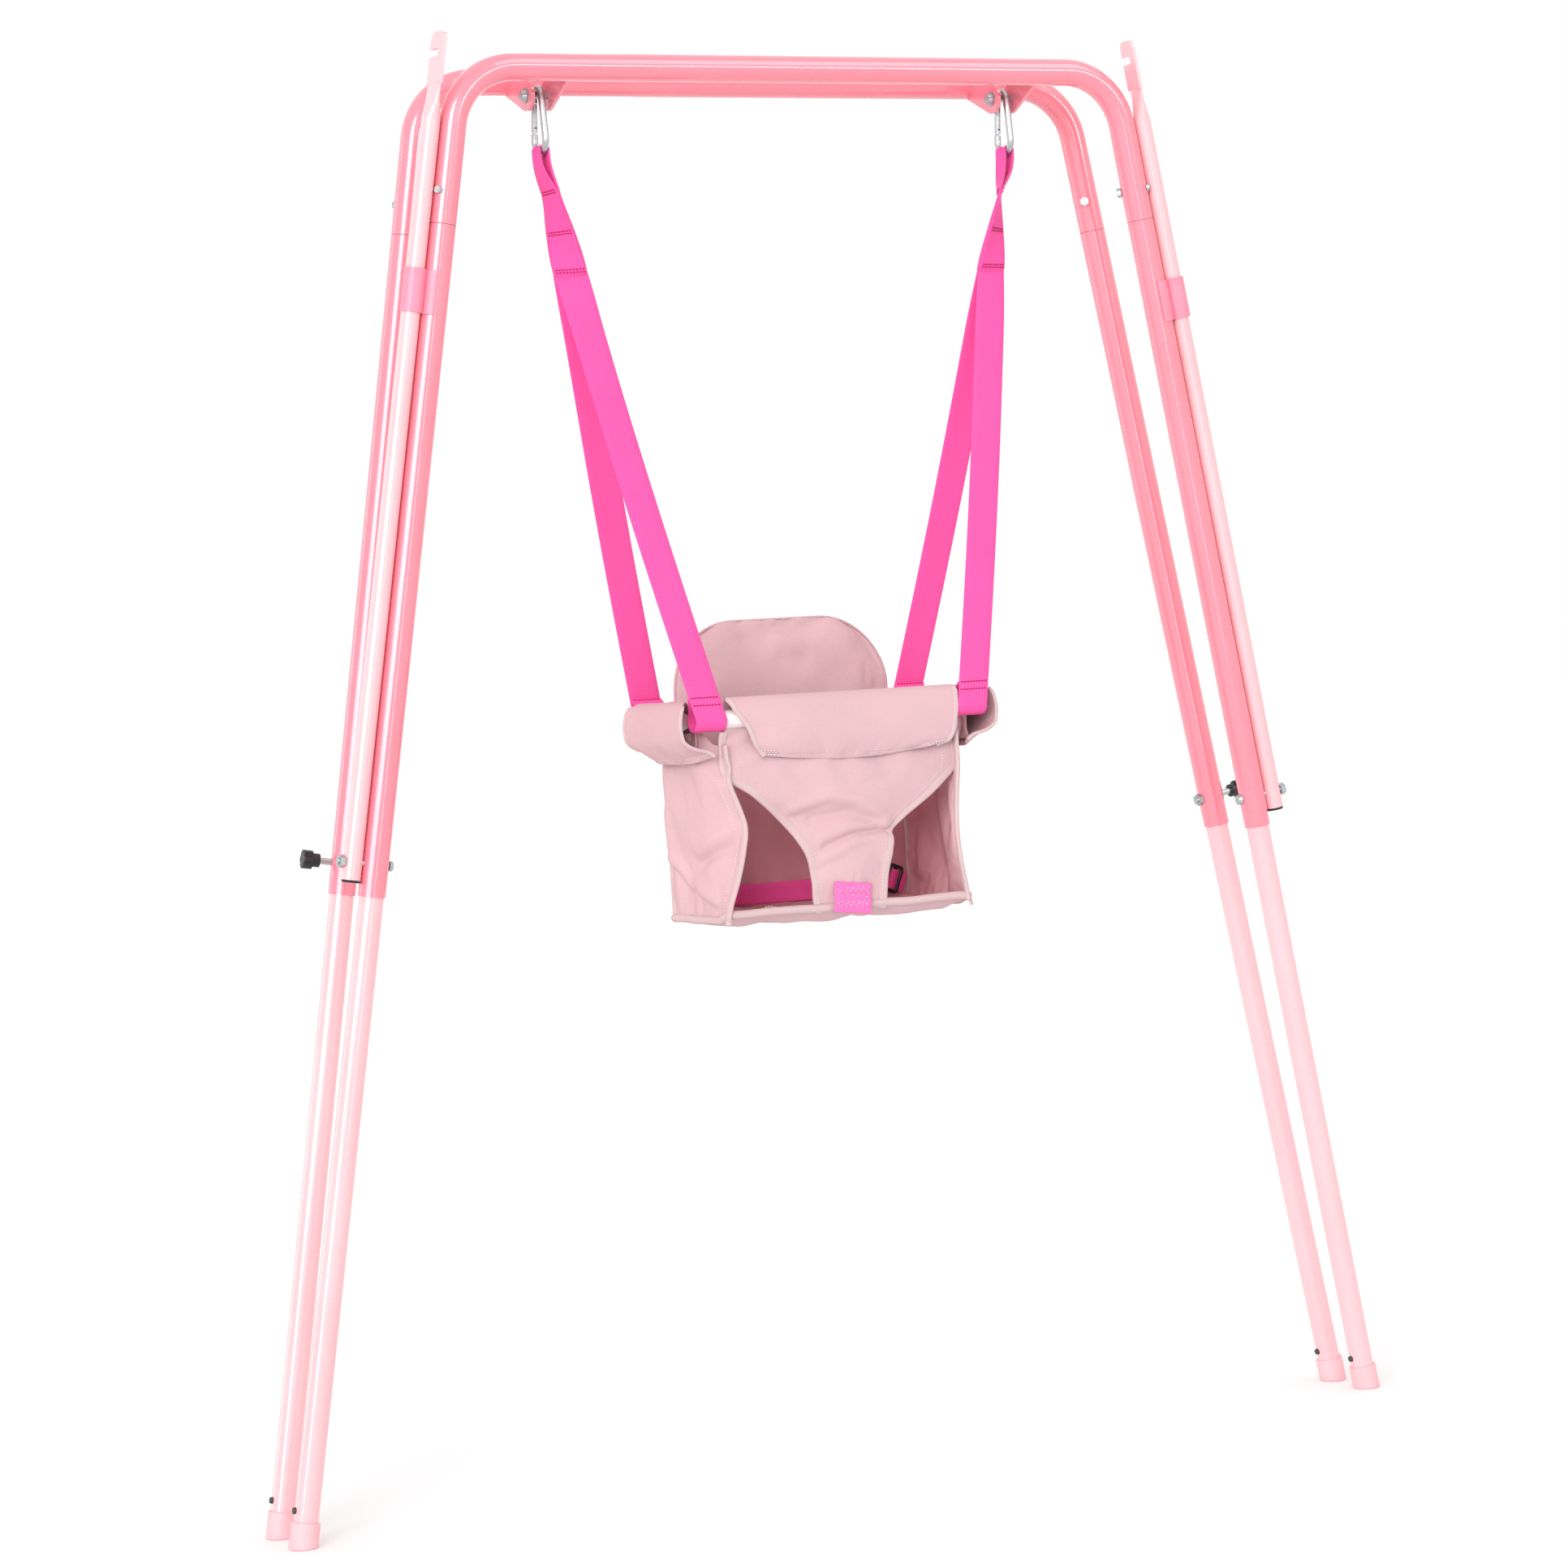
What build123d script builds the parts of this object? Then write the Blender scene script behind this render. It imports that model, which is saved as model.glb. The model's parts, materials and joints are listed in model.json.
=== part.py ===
from build123d import *
import os
from math import asin, atan, atan2, cos, degrees, radians, sin, sqrt, tan

# Folding toddler swing: two hinged tube frames, two spreader struts and a hanging fabric seat.
# Millimetres, +X to the right, +Y to the rear, +Z up, origin on the floor under the hinge.

# Tubes of the two frames
TUBE_D = 32.0
TUBE_WALL = 1.5
LEG_D = 28.5
LEG_WALL = 1.5
BEND_R = 78.0
BAR_HALF = 430.5
LEG_SPLAY = 9.74
LEG_LEAN = 0.8
BAR_SPACING = 122.0
BOW_LEG = 182.4
UPPER_LEG_END = 948.7
LEG_LENGTH = 1684.2
NECK_LENGTH = 60.0
SWAGE_LENGTH = 14.0
LEG_INSERT = 90.0

# Feet
FOOT_D = 33.4
FOOT_HEIGHT = 30.0
FOOT_FLOOR = 7.0
FOOT_SPIGOT = 56.0
FOOT_ROUND = 2.4
FOOT_RIM_R = 1.2
FOOT_SCREW_D = 4.0
FOOT_SCREW_AT = 42.0
FOOT_SCREW_LENGTH = 9.0
FOOT_SCREW_HEAD_D = 8.0
FOOT_SCREW_HEAD = 2.6

# Hinge between the frames
HINGE_DROP = 24.0
HANGER_X = 309.0
EAR_T = 4.0
EAR_PITCH = 26.0
EAR_R = 18.0
EAR_ROOT_R = 14.0
HINGE_BOLT_D = 8.0
WASHER_T = 1.5
WASHER_D = 17.0
OPEN_LEAN = 27.8

# Fasteners
RUNNING_GAP = 0.05
M8_HEAD_D = 14.0
M8_HEAD = 5.0
M8_NUT_ACROSS = 13.0
M8_NUT = 6.5
M8_TAIL = 2.0
BOW_BOLT_D = 6.0
BOW_BOLT_HEAD_D = 10.0
BOW_BOLT_HEAD = 3.6
BOW_NUT_ACROSS = 10.0
BOW_NUT = 5.0
BOW_BOLT_TAIL = 1.0
BOW_BOLT_AT = 145.0
FRONT_BOLT_TURN = 39.0
REAR_BOLT_TURN = 55.0
HEAD_TAPER = 14.0

# Spreader struts
STRUT_D = 22.0
STRUT_WALL = 1.2
STRUT_GAP = 1.0
STRUT_PIVOT_AT = 912.0
STRUT_TAIL = 20.0
STRUT_PLATE_T = 4.0
STRUT_PLATE_W = 33.0
STRUT_PLATE_R = 10.5
STRUT_FLAT = 36.0
STRUT_TAPER = 40.0
STRUT_TIP = 24.0
HOOK_WIDTH = 9.0
PLUG_FLANGE = 3.0
PLUG_DEPTH = 12.0
CLIP_AT = 255.0
CLIP_HEIGHT = 48.0
CLIP_WALL = 3.0
CLIP_GAP = 0.3

# Knobs on the rear legs
KNOB_HUB_D = 16.0
KNOB_HUB = 9.0
KNOB_HEAD_D = 22.0
KNOB_HEAD = 11.0
KNOB_LOBES = 6
KNOB_SCALLOP_D = 6.0
KNOB_SCALLOP_OUT = 1.5
KNOB_ROUND = 1.5
KNOB_PLAY = 1.0

# Carabiners
WIRE_D = 8.0
CARABINER_LENGTH = 83.0
CARABINER_TOP_R = 11.0
CARABINER_BOTTOM_R = 16.0
HANG_GAP = 0.3
GATE_D = 7.0
GATE_END = 6.0
GATE_TOP_GAP = 0.5
GATE_PIVOT_RISE = 5.4
GATE_HEEL = 3.0
GATE_PIN_D = 2.5
TANG_T = 3.0
TANG_R = 2.8
TANG_SLOT_GAP = 0.2

# Webbing straps
STRAP_W = 40.0
STRAP_T = 2.2
STRAP_X = 173.0
STRAP_LOOP_W = 20.0
STRAP_LOOP_GAP = 0.6
STRAP_THROAT = 24.0
STRAP_LOOP_TURN = 90.0
STRAP_SEAM_IN = 1.0
STRAP_NECK_AT = 48.0
STRAP_NECK_W = 36.0
STRAP_NECK_T = 6.6
STRAP_NECK_TURN = 70.0
STRAP_TWIST_AT = 88.0
STRAP_TWIST_TURN = 35.0
STRAP_SPLIT = 142.0
DOWEL_WRAP_GAP = 0.3

# Seat
DOWEL_D = 22.0
DOWEL_Z = 900.0
DOWEL_SPACING = 150.0
DOWEL_INSET = 2.0
SEAT_WIDTH = 304.0
SIDE_FLARE = 23.0
FLARE_START = 60.0
PANEL_T = 5.0
SLEEVE_T = 26.0
SLEEVE_RISE = 25.0
SLEEVE_DROP = 45.0
SLEEVE_CLEAR = 2.0
BASE_DROP = 228.0
BASE_T = 16.0
BASE_OVERHANG = 5.0
BASE_R = 12.0
BASE_ROUND = 5.3
LEG_HOLE_DROP = 70.0
LEG_HOLE_BOW = 14.0
CROTCH_W = 90.0
CROTCH_RISE = 40.0
BACK_T = 8.0
BACK_W = 286.0
BACK_RISE = 115.0
BACK_R = 85.0
TAB_W = 52.0
TAB_RISE = 26.0
TAB_DROP = 8.0
BELT_W = 25.0
BELT_RISE = 10.0
SLIDER_INSET = 17.0
SLIDER_W = 32.0
SLIDER_H = 38.0
SLIDER_T = 3.0
SLIDER_RAIL = 6.0
SLIDER_SLOT = 8.5
SLIDER_R = 3.0

FRONT, REAR = -1, 1
SIDES = (-1, 1)
SIDE_NAME = {-1: "left", 1: "right"}
END_NAME = {FRONT: "front", REAR: "rear"}

splay = radians(LEG_SPLAY)
lean = radians(LEG_LEAN)
open_lean = radians(OPEN_LEAN)
bar_z = LEG_LENGTH * cos(splay) * cos(lean)
hinge_z = bar_z - HINGE_DROP
strut_offset = TUBE_D / 2 + STRUT_GAP + STRUT_D / 2
# The pivot bolts are turned about the legs so that an open strut lies along Y.
pivot_turn = degrees(atan(sin(splay) * tan(open_lean)))


os.makedirs("parts", exist_ok=True)


def save(piece, node):
    piece.part.label = node
    export_step(piece.part, f"parts/{node}.step")


def frame_down(end):
    return Vector(0, -end * sin(lean), -cos(lean))


def frame_back(end):
    return Vector(0, cos(lean), -end * sin(lean))


def corner(side, end):
    return Vector(side * BAR_HALF, end * BAR_SPACING / 2, bar_z)


def leg_along(side, end):
    return Vector(side * sin(splay), 0, 0) + frame_down(end) * cos(splay)


def leg_out(side, end):
    return Vector(side * cos(splay), 0, 0) - frame_down(end) * sin(splay)


def leg_plane(side, end, distance):
    """Plane across a leg, its normal down the leg and its x axis outward."""
    along = leg_along(side, end)
    return Plane(origin=corner(side, end) + along * distance, x_dir=leg_out(side, end), z_dir=along)


def bolt_axis(side, end, turn):
    """Outward direction across a leg, turned about it towards the frame's free face."""
    turn = radians(turn)
    return leg_out(side, end) * cos(turn) + frame_back(end) * (end * sin(turn))


def bolt_plane(side, end, distance, turn, inward=False):
    """Plane through a leg's axis, its normal along a bolt and pointing to its outer or inner end."""
    along = leg_along(side, end)
    axis = bolt_axis(side, end, turn)
    origin = corner(side, end) + along * distance
    return Plane(origin=origin, x_dir=along, z_dir=axis * -1 if inward else axis)


def cross_hole(side, end, distance, turn, diameter):
    with BuildSketch(bolt_plane(side, end, distance, turn)) as outline:
        Circle(diameter / 2 + RUNNING_GAP)
    extrude(outline.sketch, amount=TUBE_D, both=True, mode=Mode.SUBTRACT)


def rod(plane, start, stop, diameter, taper=0):
    with BuildSketch(plane.offset(start)) as outline:
        Circle(diameter / 2)
    extrude(outline.sketch, amount=stop - start, taper=taper)


def ring(plane, start, stop, outer, inner):
    with BuildSketch(plane.offset(start)) as outline:
        Circle(outer / 2)
        Circle(inner / 2, mode=Mode.SUBTRACT)
    extrude(outline.sketch, amount=stop - start)


def hex_nut(plane, start, height, across, thread):
    with BuildSketch(plane.offset(start)) as outline:
        RegularPolygon(across / 2, 6, major_radius=False)
        Circle(thread / 2 + RUNNING_GAP, mode=Mode.SUBTRACT)
    extrude(outline.sketch, amount=height)


# Hinge pins: one bolt through the ears of both frames at each hanger
def hanger_plane(side, normal=1):
    return Plane(origin=(side * HANGER_X, 0, hinge_z), x_dir=(0, 1, 0), z_dir=(normal, 0, 0))


ear_face = EAR_PITCH / 2 + EAR_T / 2
bolt_seat = ear_face + WASHER_T

with BuildPart() as hinge_bolts:
    for side in SIDES:
        rod(hanger_plane(side), -bolt_seat, bolt_seat + M8_NUT + M8_TAIL, HINGE_BOLT_D)
        rod(hanger_plane(side, -1), bolt_seat, bolt_seat + M8_HEAD, M8_HEAD_D, HEAD_TAPER)
save(hinge_bolts, "hinge_bolts")

with BuildPart() as hinge_washers:
    for side in SIDES:
        for normal in (-1, 1):
            ring(hanger_plane(side, normal), ear_face, bolt_seat, WASHER_D, HINGE_BOLT_D + 2 * RUNNING_GAP)
save(hinge_washers, "hinge_washers")

with BuildPart() as hinge_nuts:
    for side in SIDES:
        hex_nut(hanger_plane(side), bolt_seat, M8_NUT, M8_NUT_ACROSS, HINGE_BOLT_D)
save(hinge_nuts, "hinge_nuts")


# Frames: a bent bow, ear plates, sleeved legs and capped feet at each end
def make_bow(end, bolt_turn):
    plane = Plane(
        origin=(0, end * BAR_SPACING / 2, bar_z), x_dir=(1, 0, 0), z_dir=frame_back(end) * -1
    )
    foot_x = BAR_HALF + BOW_LEG * sin(splay)
    foot_y = -BOW_LEG * cos(splay)
    with BuildPart() as bow:
        with BuildLine(plane) as path:
            FilletPolyline(
                (-foot_x, foot_y), (-BAR_HALF, 0), (BAR_HALF, 0), (foot_x, foot_y), radius=BEND_R
            )
        with BuildSketch(Plane(origin=path.line @ 0, z_dir=path.line % 0)):
            Circle(TUBE_D / 2)
            Circle(TUBE_D / 2 - TUBE_WALL, mode=Mode.SUBTRACT)
        sweep()
        for side in SIDES:
            cross_hole(side, end, BOW_BOLT_AT, bolt_turn, BOW_BOLT_D)
    save(bow, f"{END_NAME[end]}_bow")


def make_ears(end):
    bar_y = end * BAR_SPACING / 2
    with BuildPart() as ears:
        for side in SIDES:
            with BuildSketch(hanger_plane(side).offset(-end * EAR_PITCH / 2 - EAR_T / 2)):
                with BuildLine():
                    CenterArc((0, 0), EAR_R, 0, 360)
                    CenterArc((bar_y, HINGE_DROP), EAR_ROOT_R, 0, 360)
                make_hull()
                Circle(HINGE_BOLT_D / 2 + RUNNING_GAP, mode=Mode.SUBTRACT)
                with Locations((bar_y, HINGE_DROP)):
                    Circle(TUBE_D / 2, mode=Mode.SUBTRACT)
            extrude(amount=EAR_T)
    save(ears, f"{END_NAME[end]}_hinge_ears")


def make_upper_leg(side, end, bolt_turn):
    with BuildPart() as leg:
        rod(leg_plane(side, end, 0), BOW_LEG - NECK_LENGTH, UPPER_LEG_END, LEG_D - 2 * RUNNING_GAP)
        rod(leg_plane(side, end, 0), BOW_LEG, UPPER_LEG_END, TUBE_D)
        with BuildSketch(leg_plane(side, end, BOW_LEG - NECK_LENGTH)):
            Circle(LEG_D / 2 - LEG_WALL)
        extrude(amount=UPPER_LEG_END, mode=Mode.SUBTRACT)
        with BuildSketch(leg_plane(side, end, BOW_LEG + SWAGE_LENGTH)):
            Circle(TUBE_D / 2 - TUBE_WALL)
        extrude(amount=UPPER_LEG_END, mode=Mode.SUBTRACT)
        cross_hole(side, end, BOW_BOLT_AT, bolt_turn, BOW_BOLT_D)
        cross_hole(side, end, STRUT_PIVOT_AT, pivot_turn, HINGE_BOLT_D)
    save(leg, f"{END_NAME[end]}_{SIDE_NAME[side]}_upper_leg")


def make_lower_leg(side, end):
    with BuildPart() as leg:
        ring(
            leg_plane(side, end, 0), UPPER_LEG_END - LEG_INSERT, LEG_LENGTH - FOOT_FLOOR,
            LEG_D, LEG_D - 2 * LEG_WALL,
        )
        cross_hole(side, end, STRUT_PIVOT_AT, pivot_turn, HINGE_BOLT_D)
        with BuildSketch(foot_screw_plane(side, end)):
            Circle(FOOT_SCREW_D / 2 + RUNNING_GAP)
        extrude(amount=LEG_D, mode=Mode.SUBTRACT)
    save(leg, f"{END_NAME[end]}_{SIDE_NAME[side]}_lower_leg")


def foot_screw_plane(side, end):
    """Plane of the screw that holds a foot, on the left of every leg."""
    return bolt_plane(side, end, LEG_LENGTH - FOOT_SCREW_AT, 0, inward=side > 0)


def make_foot(side, end):
    with BuildPart() as foot:
        axis = leg_plane(side, end, 0)
        rod(axis, LEG_LENGTH - FOOT_HEIGHT, LEG_LENGTH + FOOT_D, FOOT_D)
        with BuildSketch(axis.offset(LEG_LENGTH - FOOT_SPIGOT)):
            Circle(LEG_D / 2 + RUNNING_GAP)
        extrude(amount=FOOT_SPIGOT - FOOT_FLOOR, mode=Mode.SUBTRACT)
        plug_d = LEG_D - 2 * LEG_WALL - 2 * RUNNING_GAP
        rod(axis, LEG_LENGTH - FOOT_SPIGOT, LEG_LENGTH - FOOT_FLOOR, plug_d)
        split(bisect_by=Plane.XY, keep=Keep.TOP)
        circles = edges().filter_by(GeomType.CIRCLE)
        rim = circles.filter_by(lambda edge: abs(edge.radius - FOOT_D / 2) < RUNNING_GAP)
        fillet(rim, radius=FOOT_RIM_R)
        fillet(faces().sort_by(Axis.Z)[0].edges(), radius=FOOT_ROUND)
        with BuildSketch(foot_screw_plane(side, end)):
            Circle(FOOT_SCREW_D / 2 + RUNNING_GAP)
        extrude(amount=LEG_D, mode=Mode.SUBTRACT)
    save(foot, f"{END_NAME[end]}_{SIDE_NAME[side]}_foot")


def make_bow_fasteners(end, bolt_turn):
    with BuildPart() as bolts:
        for side in SIDES:
            outer = bolt_plane(side, end, BOW_BOLT_AT, bolt_turn)
            rod(outer, -TUBE_D / 2 - BOW_NUT - BOW_BOLT_TAIL, TUBE_D / 2, BOW_BOLT_D)
            rod(outer, TUBE_D / 2, TUBE_D / 2 + BOW_BOLT_HEAD, BOW_BOLT_HEAD_D, HEAD_TAPER)
    save(bolts, f"{END_NAME[end]}_bow_bolts")
    with BuildPart() as nuts:
        for side in SIDES:
            inner = bolt_plane(side, end, BOW_BOLT_AT, bolt_turn, inward=True)
            hex_nut(inner, TUBE_D / 2, BOW_NUT, BOW_NUT_ACROSS, BOW_BOLT_D)
    save(nuts, f"{END_NAME[end]}_bow_nuts")


def make_foot_screws(end):
    with BuildPart() as screws:
        for side in SIDES:
            plane = foot_screw_plane(side, end)
            rod(plane, LEG_D / 2 - FOOT_SCREW_LENGTH, LEG_D / 2, FOOT_SCREW_D)
            rod(plane, LEG_D / 2, LEG_D / 2 + FOOT_SCREW_HEAD, FOOT_SCREW_HEAD_D, HEAD_TAPER)
    save(screws, f"{END_NAME[end]}_foot_screws")


for end, turn in ((FRONT, FRONT_BOLT_TURN), (REAR, REAR_BOLT_TURN)):
    make_bow(end, turn)
    make_ears(end)
    make_bow_fasteners(end, turn)
    make_foot_screws(end)
    for side in SIDES:
        make_upper_leg(side, end, turn)
        make_lower_leg(side, end)
        make_foot(side, end)

# Struts: the open strut spans both legs along Y, so its length follows from the opening angle
pivot_sin = sin(radians(pivot_turn))
pivot_cos = cos(radians(pivot_turn))
hinge_back = BAR_SPACING / 2 * cos(lean) - HINGE_DROP * sin(lean)
hinge_down = BAR_SPACING / 2 * sin(lean) + HINGE_DROP * cos(lean)
pivot_back = -strut_offset * pivot_sin - hinge_back
pivot_down = STRUT_PIVOT_AT * cos(splay) - strut_offset * pivot_cos * sin(splay) - hinge_down
strut_length = 2 * (pivot_down * sin(open_lean) - pivot_back * cos(open_lean))


def strut_plane(side):
    """Plane at a strut's pivot, its normal up the strut and its x axis along the pivot bolt."""
    along = leg_along(side, FRONT)
    axis = bolt_axis(side, FRONT, pivot_turn)
    origin = corner(side, FRONT) + along * STRUT_PIVOT_AT + axis * strut_offset
    return Plane(origin=origin, x_dir=axis, z_dir=along * -1)


def make_strut(side):
    base = strut_plane(side)
    flat_start = strut_length - STRUT_FLAT
    with BuildPart() as strut:
        ring(base, -STRUT_TAIL, flat_start - STRUT_TAPER, STRUT_D, STRUT_D - 2 * STRUT_WALL)
        with BuildSketch(base.offset(flat_start - STRUT_TAPER)):
            Circle(STRUT_D / 2)
        with BuildSketch(base.offset(flat_start)):
            Ellipse(STRUT_PLATE_T / 2, STRUT_PLATE_W / 2)
        loft()
        across = Plane(
            origin=base.origin - base.x_dir * (STRUT_PLATE_T / 2), x_dir=base.z_dir, z_dir=base.x_dir
        )
        with BuildSketch(across):
            with Locations(((flat_start + strut_length + STRUT_TIP) / 2, 0)):
                RectangleRounded(STRUT_FLAT + STRUT_TIP, STRUT_PLATE_W, STRUT_PLATE_R)
            with Locations((flat_start + STRUT_PLATE_W / 4, 0)):
                Rectangle(STRUT_PLATE_W / 2, STRUT_PLATE_W)
            with Locations((strut_length, 0)):
                Circle(HOOK_WIDTH / 2, mode=Mode.SUBTRACT)
            with Locations((strut_length, -side * STRUT_PLATE_W / 2)):
                Rectangle(HOOK_WIDTH, STRUT_PLATE_W, mode=Mode.SUBTRACT)
        extrude(amount=STRUT_PLATE_T)
        with BuildSketch(bolt_plane(side, FRONT, STRUT_PIVOT_AT, pivot_turn)):
            Circle(HINGE_BOLT_D / 2 + RUNNING_GAP)
        extrude(amount=strut_offset + STRUT_D, mode=Mode.SUBTRACT)
    save(strut, f"{SIDE_NAME[side]}_strut")


def make_strut_plug(side):
    base = strut_plane(side)
    down = Plane(origin=base.origin, x_dir=base.x_dir, z_dir=base.z_dir * -1)
    with BuildPart() as plug:
        rod(down, STRUT_TAIL, STRUT_TAIL + PLUG_FLANGE, STRUT_D, HEAD_TAPER)
        rod(down, STRUT_TAIL - PLUG_DEPTH, STRUT_TAIL, STRUT_D - 2 * STRUT_WALL - 2 * RUNNING_GAP)
    save(plug, f"{SIDE_NAME[side]}_strut_plug")


def make_strut_clip(side):
    centre = Vector(strut_offset * pivot_cos, side * strut_offset * pivot_sin)
    mouth = Vector(pivot_sin, -side * pivot_cos)
    reach = STRUT_D / 2 + CLIP_WALL
    with BuildPart() as clip:
        with BuildSketch(leg_plane(side, FRONT, CLIP_AT - CLIP_HEIGHT / 2)):
            Circle(TUBE_D / 2 + CLIP_WALL)
            with Locations((centre.X, centre.Y)):
                Circle(reach)
                Circle(STRUT_D / 2 + CLIP_GAP, mode=Mode.SUBTRACT)
            with Locations((centre.X + mouth.X * reach, centre.Y + mouth.Y * reach)):
                Rectangle(
                    2 * reach, STRUT_D + 2 * CLIP_GAP,
                    rotation=degrees(atan2(mouth.Y, mouth.X)), mode=Mode.SUBTRACT,
                )
            Circle(TUBE_D / 2 + RUNNING_GAP, mode=Mode.SUBTRACT)
        extrude(amount=CLIP_HEIGHT)
    save(clip, f"{SIDE_NAME[side]}_strut_clip")


for side in SIDES:
    make_strut(side)
    make_strut_plug(side)
    make_strut_clip(side)

strut_face = strut_offset + STRUT_D / 2
with BuildPart() as strut_pivot_bolts:
    for side in SIDES:
        outer = bolt_plane(side, FRONT, STRUT_PIVOT_AT, pivot_turn)
        inner = bolt_plane(side, FRONT, STRUT_PIVOT_AT, pivot_turn, inward=True)
        rod(outer, -TUBE_D / 2, strut_face + M8_NUT + M8_TAIL, HINGE_BOLT_D)
        rod(inner, TUBE_D / 2, TUBE_D / 2 + M8_HEAD, M8_HEAD_D, HEAD_TAPER)
save(strut_pivot_bolts, "strut_pivot_bolts")

with BuildPart() as strut_pivot_nuts:
    for side in SIDES:
        outer = bolt_plane(side, FRONT, STRUT_PIVOT_AT, pivot_turn)
        hex_nut(outer, strut_face + RUNNING_GAP, M8_NUT, M8_NUT_ACROSS, HINGE_BOLT_D)
save(strut_pivot_nuts, "strut_pivot_nuts")

# Knobs that clamp the open struts to the rear legs
knob_seat = strut_offset + STRUT_PLATE_T / 2 + KNOB_PLAY


def make_knob(side):
    plane = bolt_plane(side, REAR, STRUT_PIVOT_AT, pivot_turn)
    knob_top = knob_seat + KNOB_HUB + KNOB_HEAD
    with BuildPart() as knob:
        rod(plane, knob_seat, knob_seat + KNOB_HUB, KNOB_HUB_D)
        with BuildSketch(plane.offset(knob_seat + KNOB_HUB)):
            Circle(KNOB_HEAD_D / 2)
            with PolarLocations(KNOB_HEAD_D / 2 + KNOB_SCALLOP_OUT, KNOB_LOBES):
                Circle(KNOB_SCALLOP_D / 2, mode=Mode.SUBTRACT)
        extrude(amount=KNOB_HEAD)
        fillet(faces().sort_by(Axis(plane.origin, plane.z_dir))[-1].edges(), radius=KNOB_ROUND)
        with BuildSketch(plane.offset(knob_seat)):
            Circle(HINGE_BOLT_D / 2 + RUNNING_GAP)
        extrude(amount=KNOB_HUB + KNOB_HEAD / 2, mode=Mode.SUBTRACT)
    save(knob, f"{SIDE_NAME[side]}_knob")
    with BuildPart() as screw:
        rod(plane, -TUBE_D / 2 - M8_NUT - M8_TAIL, knob_top - KNOB_HEAD / 2, HINGE_BOLT_D)
    save(screw, f"{SIDE_NAME[side]}_knob_screw")


for side in SIDES:
    make_knob(side)

with BuildPart() as knob_nuts:
    for side in SIDES:
        inner = bolt_plane(side, REAR, STRUT_PIVOT_AT, pivot_turn, inward=True)
        hex_nut(inner, TUBE_D / 2, M8_NUT, M8_NUT_ACROSS, HINGE_BOLT_D)
save(knob_nuts, "knob_nuts")

# Carabiners hang on the hinge bolts in the YZ plane, with the gate to the rear
wire_top = HINGE_BOLT_D / 2 + HANG_GAP + WIRE_D / 2
wire_bottom = wire_top - CARABINER_LENGTH + WIRE_D
top_centre = Vector(0, wire_top - CARABINER_TOP_R)
bottom_centre = Vector(0, wire_bottom + CARABINER_BOTTOM_R)
flare = asin((CARABINER_BOTTOM_R - CARABINER_TOP_R) / (top_centre.Y - bottom_centre.Y))
spine_side = Vector(-cos(flare), sin(flare))
gate_side = Vector(cos(flare), sin(flare))
gate_up = Vector(-sin(flare), cos(flare))
nose = top_centre + gate_side * CARABINER_TOP_R
heel = bottom_centre + gate_side * CARABINER_BOTTOM_R
gate_foot = heel + gate_up * GATE_END
gate_pivot = gate_foot + gate_up * GATE_PIVOT_RISE
gate_length = (nose - gate_up * GATE_END - gate_pivot).length - GATE_TOP_GAP


def on_hanger(side, point, x=0.0):
    """World point for a point of the carabiner's own YZ outline."""
    return Vector(side * HANGER_X + x, point.X, hinge_z + point.Y)


def gate_plane(side):
    """Plane at the gate's pivot, its normal along the gate towards the nose."""
    up = Vector(0, gate_up.X, gate_up.Y)
    return Plane(origin=on_hanger(side, gate_pivot), x_dir=(1, 0, 0), z_dir=up)


def tang_outline():
    with BuildSketch(Plane.XY) as outline:
        Circle(TANG_R)
        with Locations((-GATE_PIVOT_RISE / 2, 0)):
            Rectangle(GATE_PIVOT_RISE + 2 * RUNNING_GAP, 2 * TANG_R)
        Circle(GATE_PIN_D / 2 + RUNNING_GAP, mode=Mode.SUBTRACT)
    return outline.sketch


def make_carabiner(side):
    tang = tang_outline()
    start = on_hanger(side, nose - gate_up * GATE_END)
    shoulder = on_hanger(side, nose)
    spine_top = on_hanger(side, top_centre + spine_side * CARABINER_TOP_R)
    spine_bottom = on_hanger(side, bottom_centre + spine_side * CARABINER_BOTTOM_R)
    bend_end = on_hanger(side, heel)
    with BuildPart() as body:
        with BuildLine() as path:
            Line(start, shoulder)
            ThreePointArc(shoulder, on_hanger(side, Vector(0, wire_top)), spine_top)
            Line(spine_top, spine_bottom)
            ThreePointArc(spine_bottom, on_hanger(side, Vector(0, wire_bottom)), bend_end)
            Line(bend_end, on_hanger(side, gate_foot))
        with BuildSketch(Plane(origin=start, z_dir=shoulder - start)):
            Circle(WIRE_D / 2)
        sweep()
        across = Plane(
            origin=on_hanger(side, gate_pivot, -TANG_T / 2), x_dir=gate_plane(side).z_dir, z_dir=(1, 0, 0)
        )
        with BuildSketch(across):
            add(tang)
        extrude(amount=TANG_T)
    save(body, f"{SIDE_NAME[side]}_carabiner")


def make_gate(side):
    plane = gate_plane(side)
    slot_top = TANG_R + 2 * TANG_SLOT_GAP
    with BuildPart() as gate:
        rod(plane, -GATE_HEEL, gate_length, GATE_D)
        with BuildSketch(plane.offset(-GATE_HEEL)):
            Rectangle(TANG_T + 2 * TANG_SLOT_GAP, GATE_D)
        extrude(amount=GATE_HEEL + slot_top, mode=Mode.SUBTRACT)
        with BuildSketch(Plane(origin=plane.origin, x_dir=plane.z_dir, z_dir=plane.x_dir)):
            Circle(GATE_PIN_D / 2 + RUNNING_GAP)
        extrude(amount=GATE_D, both=True, mode=Mode.SUBTRACT)
    save(gate, f"{SIDE_NAME[side]}_carabiner_gate")


for side in SIDES:
    make_carabiner(side)
    make_gate(side)

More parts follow.
